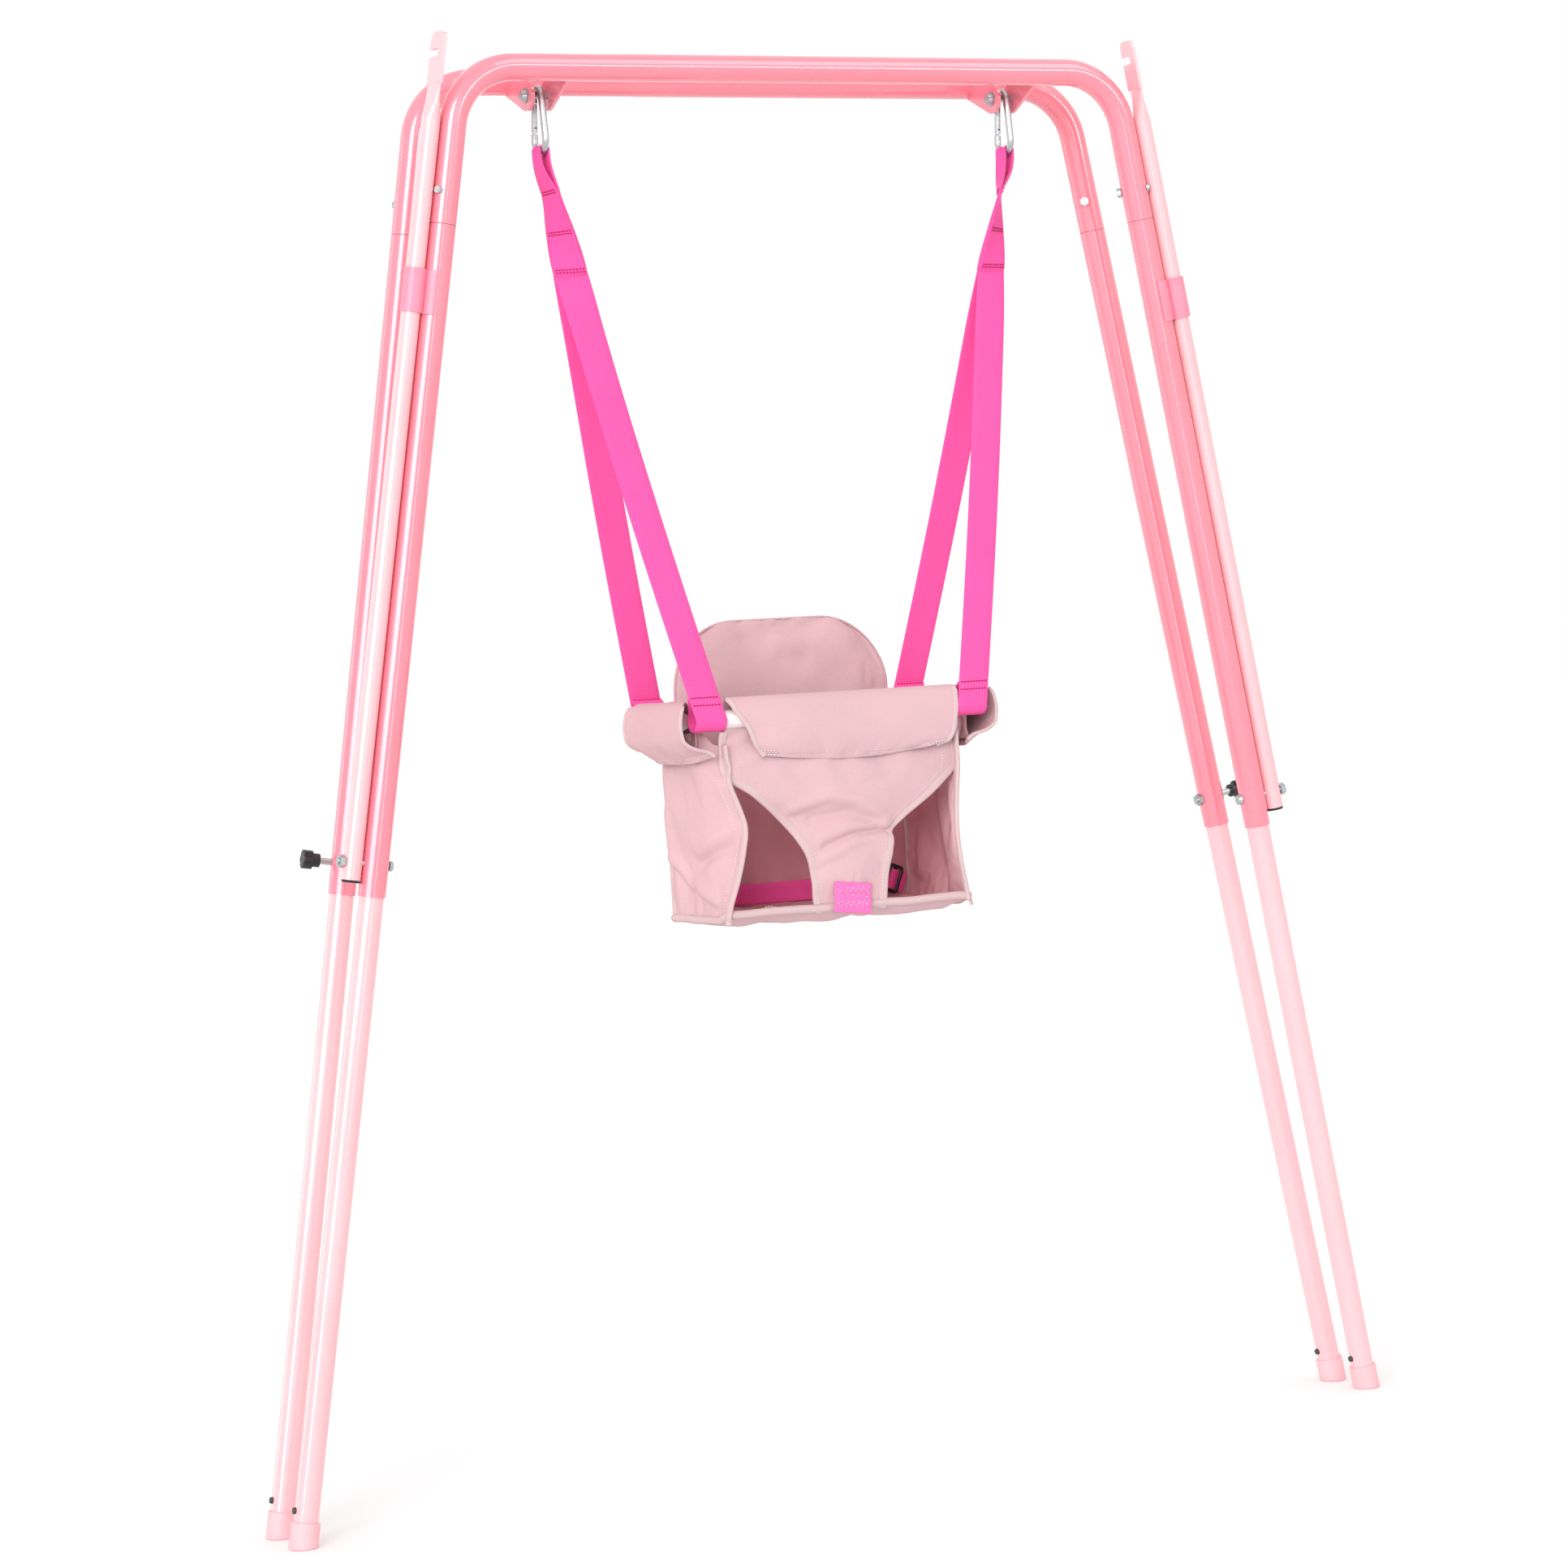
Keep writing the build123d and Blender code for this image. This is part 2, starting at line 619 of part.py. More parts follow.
with BuildPart() as gate_pins:
    for side in SIDES:
        pin_plane = Plane(origin=on_hanger(side, gate_pivot), x_dir=(0, 1, 0), z_dir=(1, 0, 0))
        rod(pin_plane, -GATE_D / 2, GATE_D / 2, GATE_PIN_D)
save(gate_pins, "carabiner_gate_pins")

# Seat: dowels in fabric sleeves carry four panels and a base
front_y = -DOWEL_SPACING / 2
rear_y = DOWEL_SPACING / 2
dowel_y = {FRONT: front_y, REAR: rear_y}
seat_half = SEAT_WIDTH / 2
base_top = DOWEL_Z - BASE_DROP
sleeve_top = DOWEL_Z + SLEEVE_RISE
sleeve_bottom = DOWEL_Z - SLEEVE_DROP
sleeve_height = SLEEVE_RISE + SLEEVE_DROP
wrap_in = DOWEL_D / 2 + DOWEL_WRAP_GAP
wrap_out = wrap_in + STRAP_T
strap_inner = STRAP_X - STRAP_W / 2
side_face = seat_half + PANEL_T
base_half = side_face + BASE_OVERHANG
side_dowel_x = side_face + SLEEVE_T / 2 + SIDE_FLARE
corner_clear = wrap_out + SLEEVE_CLEAR
dowel_half = STRAP_X + STRAP_W / 2 - DOWEL_INSET

for end in (FRONT, REAR):
    with BuildPart() as dowel:
        with BuildSketch(Plane.YZ.offset(-dowel_half)):
            with Locations((dowel_y[end], DOWEL_Z)):
                Circle(DOWEL_D / 2)
        extrude(amount=2 * dowel_half)
    save(dowel, f"{END_NAME[end]}_dowel")

side_dowel_front = front_y + corner_clear + SLEEVE_CLEAR
side_dowel_rear = rear_y - corner_clear - SLEEVE_CLEAR
for side in SIDES:
    with BuildPart() as side_dowel:
        with BuildSketch(Plane.XZ.offset(-side_dowel_rear)):
            with Locations((side * side_dowel_x, DOWEL_Z)):
                Circle(DOWEL_D / 2)
        extrude(amount=side_dowel_rear - side_dowel_front)
    save(side_dowel, f"{SIDE_NAME[side]}_dowel")


def sleeve(end):
    """Sleeve along X round the dowel at one end of the seat."""
    with BuildSketch(Plane.YZ.offset(-strap_inner + SLEEVE_CLEAR)) as outline:
        with Locations((dowel_y[end], (sleeve_top + sleeve_bottom) / 2)):
            SlotOverall(sleeve_height, SLEEVE_T, rotation=90)
        with Locations((dowel_y[end], DOWEL_Z)):
            Circle(wrap_in, mode=Mode.SUBTRACT)
    extrude(outline.sketch, amount=2 * strap_inner - 2 * SLEEVE_CLEAR)


panel_top = sleeve_bottom + SLEEVE_T / 2
hole_top = DOWEL_Z - LEG_HOLE_DROP
crotch_top = base_top + CROTCH_RISE
hole_mid = Vector((seat_half + CROTCH_W / 2) / 2, (hole_top + crotch_top) / 2)
hole_mid = hole_mid + Vector(-LEG_HOLE_BOW, LEG_HOLE_BOW)
with BuildPart() as front_panel:
    with BuildSketch(Plane.XZ.offset(-front_y - PANEL_T / 2)):
        with BuildLine():
            Polyline(
                (-CROTCH_W / 2, crotch_top), (-CROTCH_W / 2, base_top),
                (CROTCH_W / 2, base_top), (CROTCH_W / 2, crotch_top),
            )
            ThreePointArc((CROTCH_W / 2, crotch_top), (hole_mid.X, hole_mid.Y), (seat_half, hole_top))
            Polyline(
                (seat_half, hole_top), (seat_half, panel_top),
                (-seat_half, panel_top), (-seat_half, hole_top),
            )
            ThreePointArc((-seat_half, hole_top), (-hole_mid.X, hole_mid.Y), (-CROTCH_W / 2, crotch_top))
        make_face()
    extrude(amount=PANEL_T)
    sleeve(FRONT)
save(front_panel, "seat_front_panel")

with BuildPart() as back_panel:
    with BuildSketch(Plane.XZ.offset(-rear_y - BACK_T / 2)):
        with Locations((0, (base_top + DOWEL_Z + BACK_RISE) / 2)):
            RectangleRounded(BACK_W, BASE_DROP + BACK_RISE, BACK_R)
        with Locations((0, (base_top + panel_top) / 2)):
            Rectangle(SEAT_WIDTH, panel_top - base_top)
        with Locations((0, DOWEL_Z)):
            Rectangle(SEAT_WIDTH, 2 * wrap_in, mode=Mode.SUBTRACT)
    extrude(amount=BACK_T)
    sleeve(REAR)
save(back_panel, "seat_back_panel")


def make_side_panel(side):
    """Plate between front and back whose middle leans out to the sleeve."""
    front_edge = front_y - PANEL_T / 2
    rear_edge = rear_y + BACK_T / 2
    sleeve_length = DOWEL_SPACING - 2 * corner_clear
    lean_from = base_top + FLARE_START
    with BuildPart() as panel:
        with BuildSketch(Plane.YZ.offset(side * seat_half if side > 0 else -side_face)):
            with Locations(((front_edge + rear_edge) / 2, (base_top + panel_top) / 2)):
                Rectangle(rear_edge - front_edge, panel_top - base_top)
            with Locations(((front_y + rear_y) / 2, (lean_from + panel_top) / 2)):
                Rectangle(sleeve_length, panel_top - lean_from, mode=Mode.SUBTRACT)
        extrude(amount=PANEL_T)
        with BuildSketch(Plane.XZ.offset(-rear_y + corner_clear)):
            with BuildLine():
                Polyline(
                    (side * seat_half, lean_from), (side * (side_dowel_x - PANEL_T), panel_top),
                    (side * side_dowel_x, panel_top), (side * side_face, lean_from), close=True,
                )
            make_face()
            with Locations((side * side_dowel_x, (sleeve_top + sleeve_bottom) / 2)):
                SlotOverall(sleeve_height, SLEEVE_T, rotation=90)
            with Locations((side * side_dowel_x, DOWEL_Z)):
                Circle(wrap_in, mode=Mode.SUBTRACT)
        extrude(amount=sleeve_length)
    save(panel, f"seat_{SIDE_NAME[side]}_panel")


for side in SIDES:
    make_side_panel(side)

with BuildPart() as base:
    with BuildSketch(Plane.XY.offset(base_top - BASE_T)):
        with Locations((0, (front_y + rear_y - PANEL_T / 2 + BACK_T / 2) / 2)):
            RectangleRounded(2 * base_half, DOWEL_SPACING + PANEL_T / 2 + BACK_T / 2, BASE_R)
    extrude(amount=BASE_T)
    fillet(faces().sort_by(Axis.Z)[0].edges(), radius=BASE_ROUND)
save(base, "seat_base")

with BuildPart() as crotch_tab:
    with BuildSketch(Plane.XZ.offset(-front_y + PANEL_T / 2)):
        with Locations((0, base_top + (TAB_RISE - TAB_DROP) / 2)):
            Rectangle(TAB_W, TAB_RISE + TAB_DROP)
    extrude(amount=STRAP_T)
save(crotch_tab, "crotch_tab")

belt_face = rear_y - BACK_T / 2
belt_z = base_top + BELT_RISE + BELT_W / 2
with BuildPart() as lap_belt:
    with BuildSketch(Plane.XZ.offset(-belt_face)):
        with Locations((0, belt_z)):
            Rectangle(SEAT_WIDTH, BELT_W)
    extrude(amount=STRAP_T)
save(lap_belt, "lap_belt")

with BuildPart() as belt_slider:
    with BuildSketch(Plane.XZ.offset(-belt_face + STRAP_T)):
        with Locations((seat_half - SLIDER_INSET, belt_z)):
            RectangleRounded(SLIDER_W, SLIDER_H, SLIDER_R)
            with GridLocations(SLIDER_SLOT + SLIDER_RAIL, 0, 2, 1):
                Rectangle(SLIDER_SLOT, BELT_W, mode=Mode.SUBTRACT)
    extrude(amount=SLIDER_T)
save(belt_slider, "belt_slider")


# Straps: a loop in the carabiner, a sewn and twisted head, then one leg to each dowel
def strap_centre(side, z):
    """X of a strap's middle at a height, on the straight line from carabiner to dowel."""
    top = hinge_z + wire_bottom
    share = (top - z) / (top - DOWEL_Z)
    return side * (HANGER_X + (STRAP_X - HANGER_X) * share)


def strap_section(side, z, angle, y=0.0):
    """Level plane across a strap, its x axis along the width."""
    turn = radians(angle)
    across = (cos(turn), side * sin(turn), 0)
    return Plane(origin=(strap_centre(side, z), y, z), x_dir=across, z_dir=(0, 0, -1))


def make_strap(side):
    wire_z = hinge_z + wire_bottom
    slot_half = WIRE_D / 2 + STRAP_LOOP_GAP
    bend_inside = CARABINER_BOTTOM_R - WIRE_D / 2
    wire_rise = CARABINER_BOTTOM_R - sqrt(bend_inside**2 - (STRAP_LOOP_W / 2) ** 2)
    crown = wire_z + wire_rise + STRAP_LOOP_GAP - slot_half
    throat = wire_z - STRAP_THROAT
    loop_t = 2 * slot_half + 2 * STRAP_T
    split_z = wire_z - STRAP_SPLIT
    sections = (
        (throat + STRAP_T, STRAP_LOOP_W - STRAP_SEAM_IN, loop_t - STRAP_SEAM_IN, STRAP_LOOP_TURN),
        (wire_z - STRAP_NECK_AT, STRAP_NECK_W, STRAP_NECK_T, STRAP_NECK_TURN),
        (wire_z - STRAP_TWIST_AT, STRAP_W, 2 * STRAP_T, STRAP_TWIST_TURN),
        (split_z, STRAP_W, 2 * STRAP_T, 0),
    )
    with BuildPart() as strap:
        centre_x = strap_centre(side, wire_z)
        with BuildSketch(Plane.XZ.offset(-STRAP_LOOP_W / 2)):
            with Locations((centre_x, crown)):
                Circle(loop_t / 2)
            with Locations((centre_x, (crown + throat) / 2)):
                Rectangle(loop_t, crown - throat)
            with Locations((centre_x, crown)):
                Circle(slot_half, mode=Mode.SUBTRACT)
            with Locations((centre_x, (crown + wire_z - WIRE_D) / 2)):
                Rectangle(2 * slot_half, crown - wire_z + WIRE_D, mode=Mode.SUBTRACT)
        extrude(amount=STRAP_LOOP_W)
        for z, width, thickness, angle in sections:
            with BuildSketch(strap_section(side, z, angle)):
                Rectangle(width, thickness)
        loft(ruled=True)
        for end in (FRONT, REAR):
            with BuildSketch(strap_section(side, split_z, 0, end * STRAP_T / 2)):
                Rectangle(STRAP_W, STRAP_T)
            end_z = DOWEL_Z + (wrap_in + wrap_out) / 2
            with BuildSketch(strap_section(side, end_z, 0, dowel_y[end])):
                Rectangle(STRAP_W, STRAP_T)
            loft(ruled=True)
            with BuildSketch(Plane.YZ.offset(side * STRAP_X - STRAP_W / 2)):
                with Locations((dowel_y[end], DOWEL_Z)):
                    Circle(wrap_out)
                    Circle(wrap_in, mode=Mode.SUBTRACT)
            extrude(amount=STRAP_W)
    save(strap, f"{SIDE_NAME[side]}_strap")


for side in SIDES:
    make_strap(side)
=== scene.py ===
import json
import math

import bpy
import numpy as np
from mathutils import Matrix, Vector


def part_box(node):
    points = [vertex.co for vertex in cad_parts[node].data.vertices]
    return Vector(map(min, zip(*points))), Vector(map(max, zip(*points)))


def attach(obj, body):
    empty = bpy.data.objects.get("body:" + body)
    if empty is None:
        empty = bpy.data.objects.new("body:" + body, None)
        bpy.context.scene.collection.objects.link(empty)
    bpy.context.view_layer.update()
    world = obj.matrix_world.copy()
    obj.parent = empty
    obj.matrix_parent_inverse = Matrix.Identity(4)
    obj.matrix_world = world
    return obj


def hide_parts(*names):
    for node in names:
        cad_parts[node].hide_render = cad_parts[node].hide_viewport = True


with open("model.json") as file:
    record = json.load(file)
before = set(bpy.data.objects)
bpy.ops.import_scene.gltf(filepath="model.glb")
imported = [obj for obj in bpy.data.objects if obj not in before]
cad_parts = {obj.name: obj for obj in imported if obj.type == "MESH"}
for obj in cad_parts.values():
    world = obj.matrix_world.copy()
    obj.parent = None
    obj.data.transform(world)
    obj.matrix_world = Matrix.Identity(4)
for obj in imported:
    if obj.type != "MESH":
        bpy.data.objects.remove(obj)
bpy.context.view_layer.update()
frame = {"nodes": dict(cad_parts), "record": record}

bl_info = {
    "name": "Folding toddler swing",
    "version": (1, 0, 0),
    "blender": (4, 5, 0),
    "location": "View3D > Sidebar > Swing",
    "description": "Dresses the packed swing in paint, zinc, webbing and padded canvas",
    "category": "Object",
}

MM = 0.001
SWING = "swing"
LEFT, RIGHT = -1, 1
FRONT, REAR = -1, 1
SIDE_NAME = {LEFT: "left", RIGHT: "right"}
FRAME_BODY = {FRONT: "front_frame", REAR: "rear_frame"}
TO_FRONT, TO_TOP = np.array([0, -1.0, 0]), np.array([0, 0, 1.0])
WEAVE_UV = "weave"
INSIDE = "inside"


def mid_of(node):
    """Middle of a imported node's box, in millimetres."""
    low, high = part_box(node)
    return (np.array(low) + np.array(high)) / 2 / MM


def span_of(node):
    """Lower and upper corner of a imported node's box, in millimetres."""
    low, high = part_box(node)
    return np.array(low) / MM, np.array(high) / MM


# Radius of the carabiner's wire and width of the straps, in millimetres
WIRE_R, STRAP_WIDTH = 4.0, 40.0
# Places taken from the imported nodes, in millimetres
DOWEL_Z = mid_of("front_dowel")[2]
DOWEL_R = (span_of("front_dowel")[1][2] - span_of("front_dowel")[0][2]) / 2
DOWEL_Y = {FRONT: mid_of("front_dowel")[1], REAR: mid_of("rear_dowel")[1]}
SIDE_DOWEL_X = abs(mid_of("left_dowel")[0])
HANGER_X = abs(mid_of("left_carabiner")[0])
WIRE_Z = span_of("left_carabiner")[0][2] + WIRE_R
BASE_LOW, BASE_HIGH = span_of("seat_base")
BACK_TOP = span_of("seat_back_panel")[1][2]
BASE_MID = (BASE_LOW[2] + BASE_HIGH[2]) / 2
STRAP_X = abs(span_of("left_strap")[1][0]) + STRAP_WIDTH / 2


def rgb(red, green, blue):
    """Linear colour of an 8-bit sRGB one."""
    share = np.array([red, green, blue]) / 255
    return tuple(np.where(share <= 0.04045, share / 12.92, ((share + 0.055) / 1.055) ** 2.4))


def colour(name, description, default):
    """Colour that a user may change."""
    return bpy.props.FloatVectorProperty(
        name=name, description=description, default=default, subtype="COLOR", size=3, min=0, max=1
    )


def length(name, description, default):
    """Length that a user may change, its default given in millimetres."""
    return bpy.props.FloatProperty(
        name=name, description=description, default=default * MM, unit="LENGTH", precision=4, min=0
    )


class SwingColours(bpy.types.PropertyGroup):
    """Colours of the swing's finishes."""

    bow_paint: colour("Bow paint", "Powder coat of the bows and upper legs", rgb(241, 126, 142))
    leg_paint: colour("Leg paint", "Powder coat of the lower legs and struts", rgb(244, 178, 183))
    foot: colour("Foot", "Moulded foot caps", rgb(242, 178, 183))
    clip: colour("Clip", "Moulded strut clips", rgb(243, 136, 158))
    zinc: colour("Zinc", "Plated bolts, nuts and carabiners", rgb(184, 188, 190))
    black: colour("Black", "Knobs, plugs and slider", rgb(24, 24, 26))
    dowel: colour("Dowel", "Dowels in the seat's sleeves", rgb(224, 214, 214))
    webbing: colour("Webbing", "Straps, belt and tab", rgb(244, 86, 162))
    canvas: colour("Canvas", "Seat fabric", rgb(206, 170, 174))
    # Painted interior shade: darker, redder canvas colour for the seat's inner faces, standing in for
    # shade and coloured bounce light inside the seat
    painted_interior_shade: colour("Lining", "Inner side of the seat fabric", rgb(208, 146, 154))
    binding: colour("Binding", "Tape along the seat's edges", rgb(204, 176, 177))
    thread: colour("Thread", "Stitching of the seat", rgb(224, 206, 206))
    strap_thread: colour("Strap thread", "Stitching of the straps", rgb(176, 10, 94))
    tab: colour("Tab", "Crotch tab", rgb(246, 118, 184))
    tab_thread: colour("Tab thread", "Zigzag sewing of the tab", rgb(250, 176, 214))


class SwingSizes(bpy.types.PropertyGroup):
    """Sizes of the soft pieces."""

    strap_width: length("Strap width", "Width of the webbing straps", STRAP_WIDTH)
    strap_thickness: length("Strap thickness", "Thickness of the webbing", 2.2)
    panel: length("Panel", "Thickness of the seat's panels", 4.2)
    back: length("Back", "Thickness of the backrest in its middle", 13.0)
    binding_width: length("Binding width", "Width of the edge tape", 11.0)
    binding_thickness: length("Binding thickness", "Thickness of the edge tape", 5.4)
    stitch: length("Stitch", "Pitch of the stitches", 4.0)
    floor: bpy.props.FloatProperty(
        name="Floor", description="Half width of the floor", default=40.0, unit="LENGTH", min=1
    )


def tint_of(name):
    """One of the swing's colours."""
    return tuple(getattr(bpy.context.scene.swing_colours, name))


def size(name):
    """One of the swing's sizes, in millimetres."""
    return getattr(bpy.context.scene.swing_sizes, name) / MM


# Finishes
class Value:
    """A shader socket. Arithmetic on it adds Math nodes to its material."""

    def __init__(self, finish, socket):
        self.finish, self.socket = finish, socket

    def _math(self, operation, first, second=None):
        links = dict(enumerate([first] if second is None else [first, second]))
        return self.finish.node("ShaderNodeMath", {"operation": operation}, links)

    def __add__(self, other):
        return self._math("ADD", self, other)

    def __radd__(self, other):
        return self._math("ADD", other, self)

    def __sub__(self, other):
        return self._math("SUBTRACT", self, other)

    def __rsub__(self, other):
        return self._math("SUBTRACT", other, self)

    def __mul__(self, other):
        return self._math("MULTIPLY", self, other)

    def __rmul__(self, other):
        return self._math("MULTIPLY", other, self)

    def wave(self):
        """Sine of the value, from 0 to 1."""
        return self._math("SINE", self) * 0.5 + 0.5

    def wrap(self, span):
        """Value folded to and fro between 0 and a span."""
        return self._math("PINGPONG", self, span)


class Finish:
    """A node material that is written with values."""

    def __init__(self, name):
        self.material = bpy.data.materials.new(name)
        self.material.use_nodes = True
        self.tree = self.material.node_tree
        self.shader = self.tree.nodes["Principled BSDF"]

    def node(self, kind, settings=None, links=None, out=0):
        """Any node: its settings first, then the values or links of its sockets, which are named by
        index or identifier."""
        made = self.tree.nodes.new(kind)
        for key, value in (settings or {}).items():
            setattr(made, key, value)
        for key, value in (links or {}).items():
            self.feed(self.socket(made.inputs, key), value)
        return Value(self, self.socket(made.outputs, out))

    def socket(self, sockets, key):
        if isinstance(key, int):
            return sockets[key]
        return next(socket for socket in sockets if socket.identifier == key)

    def feed(self, socket, value):
        if isinstance(value, Value):
            self.tree.links.new(value.socket, socket)
        elif isinstance(value, (tuple, list)) and socket.type == "RGBA" and len(value) == 3:
            socket.default_value = (*value, 1)
        else:
            socket.default_value = value

    def place(self):
        return self.node("ShaderNodeTexCoord", out="Object")

    def weave_axes(self):
        """Length and width along a piece's own cloth, in metres."""
        uv = self.node("ShaderNodeUVMap", {"uv_map": WEAVE_UV})
        return [self.node("ShaderNodeSeparateXYZ", links={0: uv}, out=axis) for axis in ("X", "Y")]

    def noise(self, scale, detail=2.0, rough=0.5):
        links = {"Vector": self.place(), "Scale": scale, "Detail": detail, "Roughness": rough}
        return self.node("ShaderNodeTexNoise", links=links)

    def ramp(self, value, low, high):
        """Value spread from low..high to 0..1 and held there."""
        links = {0: value, 1: low, 2: high}
        return self.node("ShaderNodeMapRange", {"clamp": True}, links)

    def blend(self, factor, first, second):
        """Colour between two others."""
        links = {"Factor_Float": factor, "A_Color": first, "B_Color": second}
        return self.node("ShaderNodeMix", {"data_type": "RGBA"}, links, "Result_Color")

    def bump(self, height, strength, depth):
        links = {"Height": height, "Strength": strength, "Distance": depth}
        return self.node("ShaderNodeBump", links=links)

    def done(self, **sockets):
        for key, value in sockets.items():
            self.feed(self.shader.inputs[key.replace("_", " ")], value)
        return self.material


def shade(tint, factor):
    """Tint made darker or paler by a factor."""
    return tuple(min(1.0, channel * factor) for channel in tint)


def paint(name, tint):
    """Gloss powder coat: orange peel in the bump and a faint drift in colour."""
    finish = Finish(name)
    drift = finish.ramp(finish.noise(6.0, 3.0), 0.35, 0.65)
    peel = finish.noise(1400.0, 1.0)
    return finish.done(
        Base_Color=finish.blend(drift, shade(tint, 0.96), shade(tint, 1.03)),
        Roughness=0.22 + 0.10 * finish.noise(45.0, 2.0),
        Normal=finish.bump(peel, 0.02, 0.0002),
        Coat_Weight=1.0,
        Coat_Roughness=0.08,
        Coat_IOR=1.6,
    )


def plate(name, tint, gloss):
    """Plated steel: cloudy passivation over fine drawing marks."""
    finish = Finish(name)
    cloud = finish.ramp(finish.noise(260.0, 3.0), 0.3, 0.7)
    fine = finish.noise(2600.0, 2.0)
    return finish.done(
        Base_Color=finish.blend(cloud, shade(tint, 0.92), shade(tint, 1.04)),
        Metallic=1.0,
        Roughness=gloss + 0.10 * cloud,
        Normal=finish.bump(fine, 0.04, 0.0001),
    )


def moulding(name, tint, gloss):
    """Moulded plastic: fine grain and a slightly uneven sheen."""
    finish = Finish(name)
    grain = finish.noise(1800.0, 2.0)
    drift = finish.ramp(finish.noise(30.0, 2.0), 0.35, 0.65)
    return finish.done(
        Base_Color=finish.blend(drift, shade(tint, 0.94), shade(tint, 1.04)),
        Roughness=gloss + 0.12 * finish.noise(90.0, 2.0),
        Normal=finish.bump(grain, 0.18, 0.0002),
    )


def webbing(name, tint):
    """Woven webbing: cross ribs, a chevron that turns at the middle, rib crowns painted paler as a
    painted highlight and grooves darker as painted shade, and a faint paler drift.
    """
    finish = Finish(name)
    along, across = finish.weave_axes()
    chevron = across.wrap(0.0045) * 260.0
    ribs = (along * (2 * math.pi / 0.0026) + chevron).wave()
    warp = (across * (2 * math.pi / 0.0019)).wave()
    height = ribs * 0.75 + warp * 0.25
    fuzz = finish.noise(420.0, 3.0)
    drift = finish.ramp(finish.noise(11.0, 3.0), 0.3, 0.7)
    # Painted highlight and shade: rib crowns paler and grooves darker, by the weave's height, with
    # random fuzz mixed in
    lit = finish.blend(height * 0.55 + fuzz * 0.25, shade(tint, 0.80), shade(tint, 1.10))
    return finish.done(
        Base_Color=finish.blend(drift * 0.25, lit, shade(tint, 1.18)),
        Roughness=0.58 + 0.18 * fuzz,
        Normal=finish.bump(height + fuzz * 0.3, 0.45, 0.0005),
        Specular_IOR_Level=0.15,
    )


def canvas(name, tint, painted_interior_shade, pitch=0.0021):
    """Plain-weave cotton: crossing threads with slubs, painted paler where a thread lies on top and
    darker between threads as painted shade, soft rubbed patches, and on the inside a darker, redder
    painted interior shade for the shade and coloured bounce light within the seat."""
    finish = Finish(name)
    inside = finish.node("ShaderNodeAttribute", {"attribute_name": INSIDE}, out="Fac")
    along, across = finish.weave_axes()
    warp = (along * (2 * math.pi / pitch)).wave()
    weft = (across * (2 * math.pi / pitch)).wave()
    over = (along * (math.pi / pitch) + across * (math.pi / pitch)).wave()
    height = warp * over + weft * (1 - over)
    slub = finish.noise(330.0, 4.0)
    patch = finish.ramp(finish.noise(13.0, 4.0, 0.6), 0.32, 0.68)
    thread_mix = height * 0.5 + slub * 0.5
    # Painted shade in the weave: threads paler on top and darker in the hollows between them, mixed
    # with real slub tone
    woven = finish.blend(thread_mix, shade(tint, 0.87), shade(tint, 1.08))
    outer = finish.blend(patch * 0.30, woven, shade(tint, 1.12))
    # Painted interior shade: the darker, redder colour shown on the seat's inner faces, standing in
    # for shade and coloured bounce light inside the seat
    inner = finish.blend(thread_mix, shade(painted_interior_shade, 0.90), shade(painted_interior_shade, 1.08))
    return finish.done(
        Base_Color=finish.blend(inside, outer, inner),
        Roughness=0.80 + 0.12 * slub,
        Normal=finish.bump(height * 0.6 + slub * 0.8, 0.35, 0.0006),
        Specular_IOR_Level=0.2,
    )


def thread(name, tint):
    """Twisted sewing thread."""
    finish = Finish(name)
    twist = finish.noise(1500.0, 2.0)
    return finish.done(
        Base_Color=finish.blend(twist, shade(tint, 0.82), shade(tint, 1.08)),
        Roughness=0.55 + 0.2 * twist,
        Normal=finish.bump(twist, 0.4, 0.0003),
    )


def finishes():
    """Materials by name, made once."""
    makers = {
        "bow_paint": (paint, tint_of("bow_paint")),
        "leg_paint": (paint, tint_of("leg_paint")),
        # Painted shadow: bow paint darkened for the shadow of the gap where each bow meets its legs
        "joint_line": (paint, shade(tint_of("bow_paint"), 0.42)),
        "foot_plastic": (moulding, tint_of("foot"), 0.38),
        "clip_plastic": (moulding, tint_of("clip"), 0.26),
        "zinc": (plate, tint_of("zinc"), 0.30),
        "dark_screw": (plate, shade(tint_of("zinc"), 0.16), 0.34),
        "black_moulding": (moulding, tint_of("black"), 0.34),
        "dowel_plastic": (moulding, tint_of("dowel"), 0.24),
        "woven_strap": (webbing, tint_of("webbing")),
        "woven_tab": (webbing, tint_of("tab")),
        "canvas": (canvas, tint_of("canvas"), tint_of("painted_interior_shade")),
        "binding": (canvas, tint_of("binding"), tint_of("painted_interior_shade"), 0.0015),
        "seat_thread": (thread, tint_of("thread")),
        "strap_thread": (thread, tint_of("strap_thread")),
        "tab_thread": (thread, tint_of("tab_thread")),
    }
    ready = bpy.data.materials
    return {name: ready.get(name) or make(name, *look) for name, (make, *look) in makers.items()}


# Surfaces worked out on grids
def unit(vectors):
    """Vectors divided by their length."""
    return vectors / np.maximum(np.linalg.norm(vectors, axis=-1, keepdims=True), 1e-12)


def smooth(share):
    """Smoothstep of a share held to 0..1."""
    share = np.clip(share, 0, 1)
    return share * share * (3 - 2 * share)


